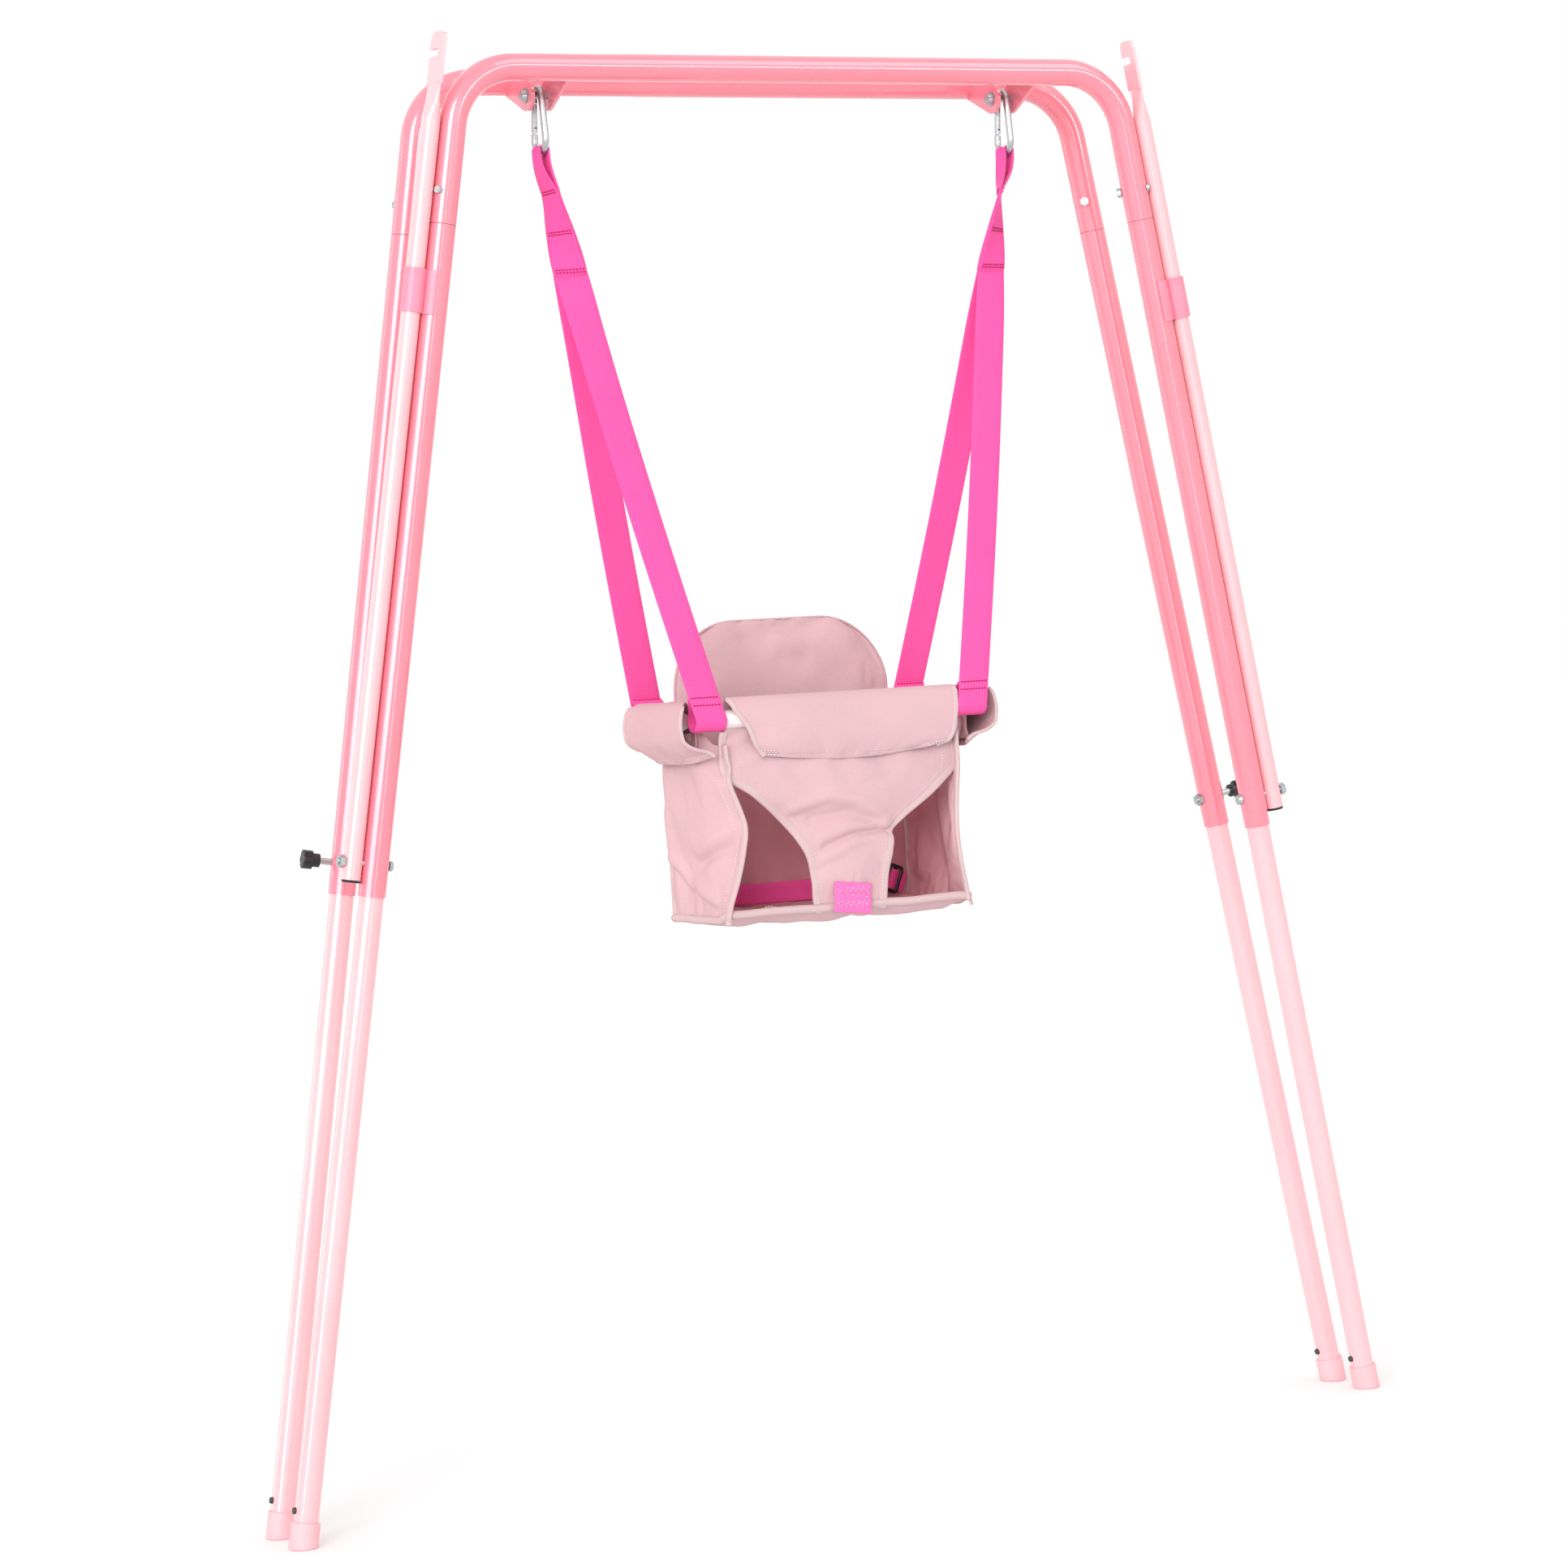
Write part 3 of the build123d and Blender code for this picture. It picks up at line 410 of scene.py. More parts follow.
def curve_through(knots, at):
    """Monotone cubic through (position, value) knots, read at positions."""
    knots = np.array(knots, float)
    x, y = knots[np.argsort(knots[:, 0])].T
    step = np.diff(y) / np.diff(x)
    before, after = step[:-1], step[1:]
    total = np.where(before + after == 0, 1, before + after)
    inner = np.where(before * after > 0, 2 * before * after / total, 0)
    slope = np.concatenate([step[:1], inner, step[-1:]])
    i = np.clip(np.searchsorted(x, at) - 1, 0, len(x) - 2)
    h = x[i + 1] - x[i]
    t = np.clip((at - x[i]) / h, 0, 1)
    return ((1 + 2 * t) * (1 - t) ** 2 * y[i] + t * (1 - t) ** 2 * h * slope[i]
            + t * t * (3 - 2 * t) * y[i + 1] + t * t * (t - 1) * h * slope[i + 1])


def circle(count):
    """Angles spaced evenly round a full turn."""
    return np.linspace(0, 2 * math.pi, count, endpoint=False)


def quads(rows, columns, round_columns=False):
    """Corner indices of a grid's faces."""
    last = columns if round_columns else columns - 1
    r, c = np.meshgrid(np.arange(rows - 1), np.arange(last), indexing="ij")
    right = (c + 1) % columns
    return np.stack([r * columns + c, r * columns + right, (r + 1) * columns + right,
                     (r + 1) * columns + c], -1).reshape(-1, 4)


def end_faces(rows, columns):
    """First and last ring of a tube's grid, each as one face."""
    first = list(range(columns))
    return first, [(rows - 1) * columns + i for i in first]


def travelled(points, axis):
    """Distance along a grid from its first row or column."""
    step = np.linalg.norm(np.diff(points, axis=axis), axis=-1)
    zero = np.zeros_like(np.take(step, [0], axis=axis))
    return np.concatenate([zero, np.cumsum(step, axis=axis)], axis=axis)


def normals_of(points):
    """Unit normals of a grid, from its two directions."""
    return unit(np.cross(np.gradient(points, axis=1), np.gradient(points, axis=0)))


class Shape:
    """Vertices, faces and cloth coordinates gathered for one mesh, in millimetres."""

    def __init__(self):
        self.points, self.faces, self.weave, self.count = [], [], [], 0
        self.inside = None

    def add(self, points, faces, weave=None):
        """Further points and faces, with a cloth coordinate for each corner of a face."""
        self.points.append(points)
        self.faces += [[self.count + i for i in face] for face in faces]
        self.weave.append(np.zeros((sum(map(len, faces)), 2)) if weave is None else weave)
        self.count += len(points)
        return self

    def piece(self, name, finish, slot, replaces=(), subdivide=0, body=SWING):
        """Object at the origin with this shape, riding on a body."""
        mesh = bpy.data.meshes.new(name)
        mesh.from_pydata((np.concatenate(self.points) * MM).tolist(), [], self.faces)
        layer = mesh.uv_layers.new(name=WEAVE_UV)
        layer.uv.foreach_set("vector", (np.concatenate(self.weave) * MM).astype(np.float32).ravel())
        mesh.polygons.foreach_set("use_smooth", np.ones(len(mesh.polygons), bool))
        mesh.materials.append(finishes()[finish])
        # Share of painted interior shade at each point, read by the canvas finish
        if self.inside is not None:
            interior_shade_share = mesh.attributes.new(INSIDE, "FLOAT", "POINT")
            interior_shade_share.data.foreach_set("value", self.inside.astype(np.float32))
        mesh.update()
        made = bpy.data.objects.new(name, mesh)
        bpy.context.scene.collection.objects.link(made)
        if subdivide:
            rounding = made.modifiers.new("rounding", "SUBSURF")
            rounding.levels = rounding.render_levels = subdivide
        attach(made, body)
        if replaces:
            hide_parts(*replaces)
        return made


def padded_shape(middle, thickness, interior_shade_share=None):
    """Closed pad: each point of a grid moved half the thickness along its normal to both sides, with a
    rim. The interior shade share gives how far the two sides of each point show the painted interior
    shade, the darker, redder colour that stands in for shade inside the seat."""
    rows, columns = middle.shape[:2]
    out = normals_of(middle) * (thickness[..., None] / 2)
    face = quads(rows, columns)
    count = rows * columns
    index = np.arange(count).reshape(rows, columns)
    ring = np.concatenate([index[0], index[1:, -1], index[-1, -2::-1], index[-2:0:-1, 0]])
    after = np.roll(ring, -1)
    rim = np.stack([ring, ring + count, after + count, after], -1)
    faces = np.concatenate([face, face[:, ::-1] + count, rim])
    u, v = travelled(middle, 0).reshape(-1), travelled(middle, 1).reshape(-1)
    weave = np.tile(np.stack([u, v], -1), (2, 1))
    shape = Shape()
    shape.add(np.concatenate([(middle + out).reshape(-1, 3), (middle - out).reshape(-1, 3)]),
              faces.tolist(), weave[faces.reshape(-1)])
    if interior_shade_share is not None:
        sides = [np.broadcast_to(side, (rows, columns)).reshape(-1) for side in interior_shade_share]
        shape.inside = np.concatenate(sides)
    return shape


def tape_section(width, thickness, corners=4):
    """Flat band with round edges: half circles joined by straights, as (across, up) points."""
    turn = np.linspace(-math.pi / 2, math.pi / 2, corners + 1)
    r = thickness / 2
    right = np.stack([width / 2 - r + r * np.cos(turn), r * np.sin(turn)], -1)
    top = np.stack([np.linspace(width / 2 - r, r - width / 2, 6)[1:-1], np.full(4, r)], -1)
    return np.concatenate([right, top, -right, -top])


def section_points(path, across, up, section):
    """Grid of a section on a path: point = path + across * x + up * y."""
    flat, high = section[None, :, :1], section[None, :, 1:]
    return path[:, None] + across[:, None] * flat + up[:, None] * high


def carried(shape, path, across, up, section):
    """Section carried along an open path and closed by end faces."""
    points = section_points(path, across, up, section)
    rows, columns = points.shape[:2]
    u = np.repeat(travelled(path, 0)[:, None], columns + 1, 1)
    v = np.repeat(np.concatenate([section[:, 0], section[:1, 0]])[None], rows, 0)
    weave = np.stack([u, v], -1).reshape(-1, 2)
    body = quads(rows, columns, True)[:, ::-1]
    sheet = quads(rows, columns + 1)[:, ::-1]
    first, last = end_faces(rows, columns)
    ends = np.zeros((2 * columns, 2))
    return shape.add(points.reshape(-1, 3), body.tolist() + [first, last[::-1]],
                     np.concatenate([weave[sheet.reshape(-1)], ends]))


def looped(shape, path, up, section):
    """Section carried once round a closed path, its second direction along up."""
    along = unit(np.roll(path, -1, 0) - np.roll(path, 1, 0))
    across = unit(np.cross(along, up))
    points = section_points(path, across, up, section)
    rows, columns = points.shape[:2]
    faces = quads(rows + 1, columns, True)[:, ::-1] % (rows * columns)
    return shape.add(points.reshape(-1, 3), faces.tolist())


def frame_along(path, toward):
    """Across and up directions of a path whose up side faces toward."""
    along = unit(np.gradient(path, axis=0))
    across = unit(np.cross(along, toward))
    return across, np.cross(across, along)


def bound(shape, path, toward, width, thickness):
    """Edge tape along a path: a flat band whose broad side faces toward."""
    across, up = frame_along(path, toward)
    return carried(shape, path, across, up, tape_section(width, thickness))


def respaced(path, pitch):
    """Points at an even pitch along a path."""
    far = travelled(path, 0)
    at = np.arange(pitch / 2, far[-1], pitch)
    return np.stack([np.interp(at, far, path[:, k]) for k in range(3)], -1)


# One stitch as a spindle along x, the share of its pitch that it covers and its lift off the cloth
STITCH = np.array([(-0.5, 0, -0.6)] + [(x, a, b) for x in (-0.3, 0.3)
                  for a, b in ((1, 0), (0, 1), (-1, 0), (0, -1))] + [(0.5, 0, -0.6)])
STITCH_FACES = np.array(
    [(0, 1 + i, 1 + (i + 1) % 4) for i in range(4)]
    + [(1 + i, 5 + i, 5 + (i + 1) % 4) for i in range(4)]
    + [(1 + i, 5 + (i + 1) % 4, 1 + (i + 1) % 4) for i in range(4)]
    + [(9, 5 + (i + 1) % 4, 5 + i) for i in range(4)])[:, ::-1]
STITCH_SHARE, STITCH_LIFT = 0.86, 0.3


def stitched(shape, path, toward, girth=0.55):
    """Row of stitches: a spindle at each pitch of the path, its ends sunk into the cloth."""
    pitch = size("stitch")
    centre = respaced(path, pitch)
    along = unit(np.gradient(centre, axis=0))
    up = unit(toward - along * np.sum(along * toward, -1, keepdims=True))
    across = np.cross(up, along)
    t = STITCH[None]
    points = (centre[:, None] + along[:, None] * t[..., :1] * pitch * STITCH_SHARE
              + across[:, None] * t[..., 1:2] * girth
              + up[:, None] * (t[..., 2:] * girth + STITCH_LIFT))
    faces = STITCH_FACES[None] + np.arange(len(centre))[:, None, None] * len(STITCH)
    return shape.add(points.reshape(-1, 3), faces.reshape(-1, 3).tolist())


SETTLE_STEPS = 26


def settled(middle, pins, spare, cap):
    """Cloth simulation of one sheet without weight: spare is how much more cloth there is than room,
    pins hold its seams, and cap is the most that a point may move."""
    rows, columns = middle.shape[:2]
    mesh = bpy.data.meshes.new("settling")
    mesh.from_pydata((middle.reshape(-1, 3) * MM).tolist(), [], quads(rows, columns).tolist())
    made = bpy.data.objects.new("settling", mesh)
    bpy.context.scene.collection.objects.link(made)
    held = made.vertex_groups.new(name="seams")
    held.add(np.flatnonzero(pins).tolist(), 1.0, "REPLACE")
    cloth = made.modifiers.new("cloth", "CLOTH")
    setting = cloth.settings
    setting.quality, setting.mass = 8, 0.25
    setting.tension_stiffness, setting.compression_stiffness = 60, 60
    setting.shear_stiffness, setting.bending_stiffness = 12, 1.2
    setting.tension_damping = setting.compression_damping = setting.shear_damping = 25
    setting.air_damping = 4
    setting.vertex_group_mass = "seams"
    setting.shrink_min = -spare
    setting.effector_weights.gravity = 0.0
    cloth.collision_settings.use_collision = False
    cloth.point_cache.frame_start, cloth.point_cache.frame_end = 1, SETTLE_STEPS
    scene = bpy.context.scene
    for step in range(1, SETTLE_STEPS + 1):
        scene.frame_set(step)
    shown = made.evaluated_get(bpy.context.evaluated_depsgraph_get()).to_mesh()
    flat = np.zeros(rows * columns * 3, np.float32)
    shown.vertices.foreach_get("co", flat)
    moved = flat.reshape(middle.shape).astype(float) / MM - middle
    bpy.data.objects.remove(made)
    scene.frame_set(1)
    far = np.linalg.norm(moved, axis=-1, keepdims=True)
    return middle + moved * np.minimum(1, cap / np.maximum(far, 1e-9))


EDGES = {"t": (0, slice(None)), "b": (-1, slice(None)), "l": (slice(None), 0), "r": (slice(None), -1)}


def edge_pins(rows, columns, sides="tblr"):
    """Full hold on the named edges of a grid: top, bottom, left and right."""
    pins = np.zeros((rows, columns))
    for side in sides:
        pins[EDGES[side]] = 1
    return pins


RIPPLE_WAVES, RIPPLE_PITCH = 5, (45, 110)


def ripple(u, v, seed, height):
    """Soft dents: a few slanted cosine waves with seeded directions."""
    draw = np.random.default_rng(seed)
    total = 0
    for _ in range(RIPPLE_WAVES):
        turn, phase = draw.uniform(0, 2 * math.pi), draw.uniform(0, 2 * math.pi)
        pitch = draw.uniform(*RIPPLE_PITCH)
        total = total + np.cos((u * math.cos(turn) + v * math.sin(turn)) * 2 * math.pi / pitch + phase)
    return total * height / RIPPLE_WAVES


def folded(u, v, folds):
    """Folds along polylines: each adds height * exp(-(d / width)^2), d the distance from its line."""
    at = np.stack(np.broadcast_arrays(u, v), -1)[..., None, :]
    total = 0
    for height, width, *line in folds:
        line = np.array(line, float)
        start, step = line[:-1], np.diff(line, axis=0)
        share = np.clip(np.sum((at - start) * step, -1) / np.sum(step * step, -1), 0, 1)
        gap = np.linalg.norm(at - start - share[..., None] * step, axis=-1).min(-1)
        total = total + height * np.exp(-((gap / width) ** 2))
    return total


class PaintFrames(bpy.types.Operator):
    """Gives every rigid part its paint, plating or plastic"""

    bl_idname = "swing.paint_frames"
    bl_label = "Paint the frames"

    slot_finish = {
        "salmon_paint": "bow_paint", "pale_paint": "leg_paint", "zinc_steel": "zinc",
        "dark_steel": "dark_screw", "pink_plastic": "clip_plastic", "pale_plastic": "foot_plastic",
        "black_plastic": "black_moulding", "white_plastic": "dowel_plastic",
        "webbing": "woven_strap", "seat_fabric": "canvas",
    }

    def execute(self, context):
        made = finishes()
        for part in frame["record"]["subparts"]:
            mesh = frame["nodes"][part["node"]].data
            mesh.materials.clear()
            mesh.materials.append(made[self.slot_finish[part["material_slot"]]])
        return {"FINISHED"}


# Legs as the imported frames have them: corner of the bow, radius of the tube, length of the bow's own
# legs and slant of the legs
BAR_HALF, BAR_Y, TUBE_R, BOW_LEG = 430.5, 61.0, 16.0, 182.4
BAR_Z = span_of("front_bow")[1][2] - TUBE_R
SPLAY, LEAN = math.radians(9.74), math.radians(0.8)


def bow_corner(side, end):
    """Point where the middle lines of a bow's bar and of its leg meet."""
    return np.array([side * BAR_HALF, end * BAR_Y, BAR_Z])


def leg_axes(side, end):
    """Directions of a leg: down along it, outward across it and towards the free face of its frame."""
    down = np.array([0, -end * math.sin(LEAN), -math.cos(LEAN)])
    wide = np.array([side, 0, 0])
    along = wide * math.sin(SPLAY) + down * math.cos(SPLAY)
    outward = wide * math.cos(SPLAY) - down * math.sin(SPLAY)
    return along, outward, np.array([0, end * math.cos(LEAN), -math.sin(LEAN)])


class DrawJointGapShadows(bpy.types.Operator):
    """Fine bead in darkened bow paint where each bow meets its two legs, a painted shadow of the gap
    between the tubes
    """

    bl_idname = "swing.draw_joint_lines"
    bl_label = "Draw the joint lines"

    width, height = 1.1, 0.24

    def execute(self, context):
        """Oval bead carried round the leg: middle plus the tube's radius towards each turn."""
        turn, across = circle(48)[:, None], circle(8)
        bead = np.stack([self.width / 2 * np.cos(across), self.height * np.sin(across)], -1)
        for end, body in FRAME_BODY.items():
            lines = Shape()
            for side in (LEFT, RIGHT):
                along = leg_axes(side, end)[0]
                outward = unit(np.cross(along, np.array([0, 1.0, 0])))
                radial = np.cos(turn) * outward + np.sin(turn) * np.cross(along, outward)
                middle = bow_corner(side, end) + along * BOW_LEG
                looped(lines, middle + radial * TUBE_R, radial, bead)
            lines.piece(f"{body}_joint_lines", "joint_line", "salmon_paint", body=body)
        return {"FINISHED"}


# Stowed struts beside the front legs: radius, distance from the leg, turn about the leg and play
STRUT_R, STRUT_OFFSET, STRUT_TURN = 11.0, 28.0, math.radians(5.1)
STRUT_PLAY, LEG_PLAY = 0.3, 0.15
# Their clips: distance down the leg, reach of the front arm and whole grip in degrees, half length,
# wall
CLIP_AT = {LEFT: 262.0, RIGHT: 285.0}
CLIP_ARM = {LEFT: 67.0, RIGHT: 94.0}
CLIP_GRIP, CLIP_HALF, CLIP_WALL = 200.0, 25.0, 2.2


class MakeClips(bpy.types.Operator):
    """Clips that hold the stowed struts: a half round over the strut and two arms round the leg"""

    bl_idname = "swing.make_clips"
    bl_label = "Make the strut clips"

    arc_points, sharp_edge = 22, math.radians(35)

    def arc(self, centre, radius, start, stop):
        """Points of a circle about a place on the x axis."""
        turn = np.linspace(start, stop, self.arc_points)
        return np.stack([centre + radius * np.cos(turn), radius * np.sin(turn)], -1)

    def meeting(self, radius, other):
        """Angle at the centre of a circle where the other one crosses it, by the law of cosines."""
        square = STRUT_OFFSET ** 2 + radius ** 2 - other ** 2
        return math.acos(square / (2 * STRUT_OFFSET * radius))

    def outline(self, arm):
        """Section of a clip with the leg at 0 and the strut along x: arcs about both, joined where
        they cross."""
        strut_in, leg_in = STRUT_R + STRUT_PLAY, TUBE_R + LEG_PLAY
        strut_out, leg_out = strut_in + CLIP_WALL, leg_in + CLIP_WALL
        back = arm - math.radians(CLIP_GRIP)
        return np.concatenate([
            self.arc(STRUT_OFFSET, strut_out, 0, math.pi - self.meeting(strut_out, leg_out)),
            self.arc(0, leg_out, self.meeting(leg_out, strut_out), arm)[1:],
            self.arc(0, leg_in, arm, back),
            self.arc(0, leg_out, back, -self.meeting(leg_out, strut_in)),
            self.arc(STRUT_OFFSET, strut_in, math.pi + self.meeting(strut_in, leg_out), 0)[1:],
        ])

    def execute(self, context):
        """The outline carried a short way along the leg, turned to where the strut lies."""
        for side, name in SIDE_NAME.items():
            along, outward, free = leg_axes(side, FRONT)
            far = CLIP_AT[side] - side * CLIP_HALF * np.array([[-1], [1]])
            path = bow_corner(side, FRONT) + along * far
            across = np.tile(outward * math.cos(STRUT_TURN) + free * math.sin(STRUT_TURN), (2, 1))
            up = np.tile(free * math.cos(STRUT_TURN) - outward * math.sin(STRUT_TURN), (2, 1))
            band = carried(Shape(), path, across, up, self.outline(math.radians(CLIP_ARM[side])))
            made = band.piece(f"{name}_strut_clip_band", "clip_plastic", "pink_plastic",
                              [f"{name}_strut_clip"], body=FRAME_BODY[FRONT])
            made.data.set_sharp_from_angle(angle=self.sharp_edge)
        return {"FINISHED"}


class MakeDowels(bpy.types.Operator):
    """Dowels with rounded ends that stop inside their straps and sleeves"""

    bl_idname = "swing.make_dowels"
    bl_label = "Make the dowels"

    inset = {"front": 8.0, "rear": 8.0, "left": 9.0, "right": 9.0}
    edge = 1.6

    def execute(self, context):
        for name, inset in self.inset.items():
            low, high = span_of(f"{name}_dowel")
            lead = int(np.argmax(high - low))
            self.rod(name, (low + high) / 2, (high - low)[lead] / 2 - inset, lead)
        return {"FINISHED"}

    def rod(self, name, centre, half, lead):
        """Circle carried along the rod, drawn in by a quarter circle at both ends."""
        turn, bend = circle(40)[None], np.linspace(0, math.pi / 2, 6)
        end = np.stack([half - self.edge + self.edge * np.sin(bend),
                        DOWEL_R - self.edge + self.edge * np.cos(bend)], -1)
        stations = np.concatenate([(end * (-1, 1))[::-1], end])
        far, reach = stations[:, :1], stations[:, 1:]
        axes = np.roll(np.arange(3), -lead)
        points = np.zeros((len(stations), turn.shape[1], 3))
        points[..., axes[0]] = far
        points[..., axes[1]] = reach * np.cos(turn)
        points[..., axes[2]] = reach * np.sin(turn)
        rows, columns = points.shape[:2]
        first, last = end_faces(rows, columns)
        faces = quads(rows, columns, True).tolist() + [first[::-1], last]
        shape = Shape().add(points.reshape(-1, 3) + centre, faces)
        shape.piece(f"{name}_dowel_rod", "dowel_plastic", "white_plastic", [f"{name}_dowel"])


# Head of a strap: bend of the carabiner's wire, half depth of the loop on it, share of the width that
# is gathered there, half the gap of the two layers, length down to where the legs part
BEND_R, LOOP_REACH, GATHER, LAYER_GAP, HEAD_LENGTH = 16.0, 5.5, 0.62, 1.25, 142.0
STRAP_SPLIT_Z = WIRE_Z - HEAD_LENGTH
# Drops below the wire by which the layers close up, spread to their width and hang flat
CLOSE_BY, SPREAD_BY, FLAT_BY = 52, 44, 48
# Turn of each strap about its length in degrees, by the drop below the wire
TURN = {
    LEFT: ((0, 90), (45, 88), (95, 62), (142, 27), (220, 4), (300, 0)),
    RIGHT: ((0, 90), (45, 66), (95, 37), (142, 11), (220, 0), (300, 0)),
}
# Leg of a strap: points along it, half gap at the split, sideways sway, lift off the dowel, wrap round
# it, and the height, gap and layer of the tail that is sewn to the leg
LEG_POINTS, SPLIT_HALF, LEG_SWAY = 60, 1.3, 3.0
WRAP_LIFT, WRAP_TURN = 1.5, math.pi * 1.30
TAIL_RISE, TAIL_GAP, TAIL_LAYER = 30, 2.6, 2.4
# Seams of the straps: drops on the head, half gap of their rows, heights above the dowel, half share
# of the width, girth of the thread
HEAD_SEAMS, ROW_HALF = (47, 92, 136), 1.7
LEG_SEAMS, SEAM_SHARE, STRAP_STITCH = (20.0, 24.0), 0.46, 0.9


def strap_x(side, z):
    """X of a strap's middle at a height, on a straight line from the wire to the dowel."""
    return side * (HANGER_X + (STRAP_X - HANGER_X) * (WIRE_Z - z) / (WIRE_Z - DOWEL_Z))


def strap_across(side, drop):
    """Direction of a strap's width at a drop below the wire: cosine and sine of its turn."""
    turn = np.radians(curve_through(TURN[side], drop))
    return np.stack([np.cos(turn), side * np.sin(turn), 0 * turn], -1)


def strap_head(side, width):
    """Head of a strap: gathered on the carabiner's bent wire as on a torus, then spread to its width,
    turned about its length by the strap's own turn and running down as two layers."""
    a = np.linspace(-width / 2, width / 2, 15)
    theta = a * GATHER / BEND_R
    drop = np.linspace(WIRE_Z - STRAP_SPLIT_Z, 0, 46)
    z = WIRE_Z - drop
    lead = strap_across(side, drop)
    out = np.stack([lead[:, 1], -lead[:, 0], 0 * drop], -1) * side
    gap = LAYER_GAP + (LOOP_REACH - LAYER_GAP) * (1 - smooth(drop / CLOSE_BY))
    spread = GATHER + (1 - GATHER) * smooth(drop / SPREAD_BY)
    share = smooth(drop / FLAT_BY)[:, None, None]
    layers = []
    for layer in (1, -1):
        middle = np.stack([strap_x(side, z), 0 * z, z], -1) + out * (gap * layer)[:, None]
        flat = middle[:, None] + lead[:, None] * (a[None] * spread[:, None])[..., None]
        arc = np.stack([np.full_like(a, side * HANGER_X + LOOP_REACH * layer),
                        side * BEND_R * np.sin(theta), WIRE_Z + BEND_R - BEND_R * np.cos(theta)], -1)
        hung = arc[None] - TO_TOP * drop[:, None, None]
        layers.append(hung * (1 - share) + flat * share)
    phi = np.linspace(math.pi / 2, -math.pi / 2, 13)[1:-1, None]
    reach = BEND_R - LOOP_REACH * np.cos(phi)
    crown = np.stack(np.broadcast_arrays(
        side * HANGER_X + LOOP_REACH * np.sin(phi), side * reach * np.sin(theta)[None],
        WIRE_Z + BEND_R - reach * np.cos(theta)[None]), -1)
    return np.concatenate([layers[0], crown, layers[1][::-1]])


def strap_leg(side, end):
    """Path of a strap's leg: from the split down to the dowel, round under it and up the inside to its
    seam."""
    z = np.linspace(STRAP_SPLIT_Z, DOWEL_Z, LEG_POINTS)
    wrap = DOWEL_R + WRAP_LIFT
    share = (STRAP_SPLIT_Z - z) / (STRAP_SPLIT_Z - DOWEL_Z)
    y0, y1 = end * SPLIT_HALF, DOWEL_Y[end] + end * wrap
    sway = np.sin(share * math.pi) * LEG_SWAY * side
    down = np.stack([strap_x(side, z) + sway, y0 + (y1 - y0) * share, z], -1)
    turn = np.linspace(0, WRAP_TURN, 26)[1:]
    under = np.stack([np.full_like(turn, side * STRAP_X), DOWEL_Y[end] + end * wrap * np.cos(turn),
                      DOWEL_Z - wrap * np.sin(turn)], -1)
    last = down[np.argmin(abs(z - DOWEL_Z - TAIL_RISE))] - np.array([0, end * TAIL_GAP, 0])
    up = under[-1] + (last - under[-1]) * np.linspace(0, 1, 10)[1:, None]
    return np.concatenate([down, under, up])


class MakeStraps(bpy.types.Operator):
    """Webbing straps with their sewn heads and dowel loops"""

    bl_idname = "swing.make_straps"
    bl_label = "Make the straps"

    def execute(self, context):
        """A thin pad for the head and a flat band carried along each leg, sewn across in rows."""
        width, thickness = size("strap_width"), size("strap_thickness")
        band = tape_section(width, thickness, 3)
        for side, name in SIDE_NAME.items():
            head = strap_head(side, width)
            legs = {end: strap_leg(side, end) for end in (FRONT, REAR)}
            shape = padded_shape(head, np.full(head.shape[:2], thickness))
            seams = Shape()
            for end, path in legs.items():
                along = unit(np.gradient(path, axis=0))
                across = strap_across(side, WIRE_Z - path[:, 2])
                carried(shape, path, across, unit(np.cross(across, along)), band)
                self.leg_seam(seams, path, end, width, thickness)
            for drop in HEAD_SEAMS:
                self.head_seam(seams, head, drop, thickness)
            strap = shape.piece(f"{name}_strap_webbing", "woven_strap", "webbing", [f"{name}_strap"])
            sewn = seams.piece(f"{name}_strap_seams", "strap_thread", "webbing")
            width * MM
        return {"FINISHED"}

    def leg_seam(self, seams, path, end, width, thickness):
        """Two rows across a leg above its dowel, on both faces."""
        for rise in LEG_SEAMS:
            row = path[np.argmin(abs(path[:LEG_POINTS, 2] - DOWEL_Z - rise))]
            line = row + np.linspace(-SEAM_SHARE, SEAM_SHARE, 12)[:, None] * np.array([width, 0, 0])
            for face in (-1, 1):
                out = np.array([0, face * 1.0, 0])
                tail = TAIL_LAYER if face != end else 0
                stitched(seams, line + out * (thickness / 2 + tail), out, STRAP_STITCH)

    def head_seam(self, seams, head, drop, thickness):
        """Two rows across the head, on its outer faces."""
        half = len(head) // 2
        layers = head[:half], head[::-1][:half]
        for shift in (-ROW_HALF, ROW_HALF):
            for layer in layers:
                middle = layer[:, layer.shape[1] // 2, 2]
                at = np.argmin(abs(middle - (WIRE_Z - drop + shift)))
                line = layer[at][1:-1]
                away = unit(np.cross(line[-1] - line[0], TO_TOP))
                inner = (layers[0][at] + layers[1][at]).mean(0) / 2
                away = away * np.sign(np.dot(away, line.mean(0) - inner) or 1)
                stitched(seams, line + away * thickness / 2, away, STRAP_STITCH)


# Front panel: height of its upper edge, and its two side edges as (height, half width) knots
FRONT_TOP = 893
LEFT_EDGE = (
    (664, 42), (700, 43), (726, 46), (754, 60), (783, 85), (815, 121), (834, 149), (842, 152),
    (900, 152),
)
RIGHT_EDGE = (
    (664, 43), (700, 47), (739, 54), (758, 57), (772, 71), (792, 100), (815, 132), (828, 149),
    (836, 152), (900, 152),
)
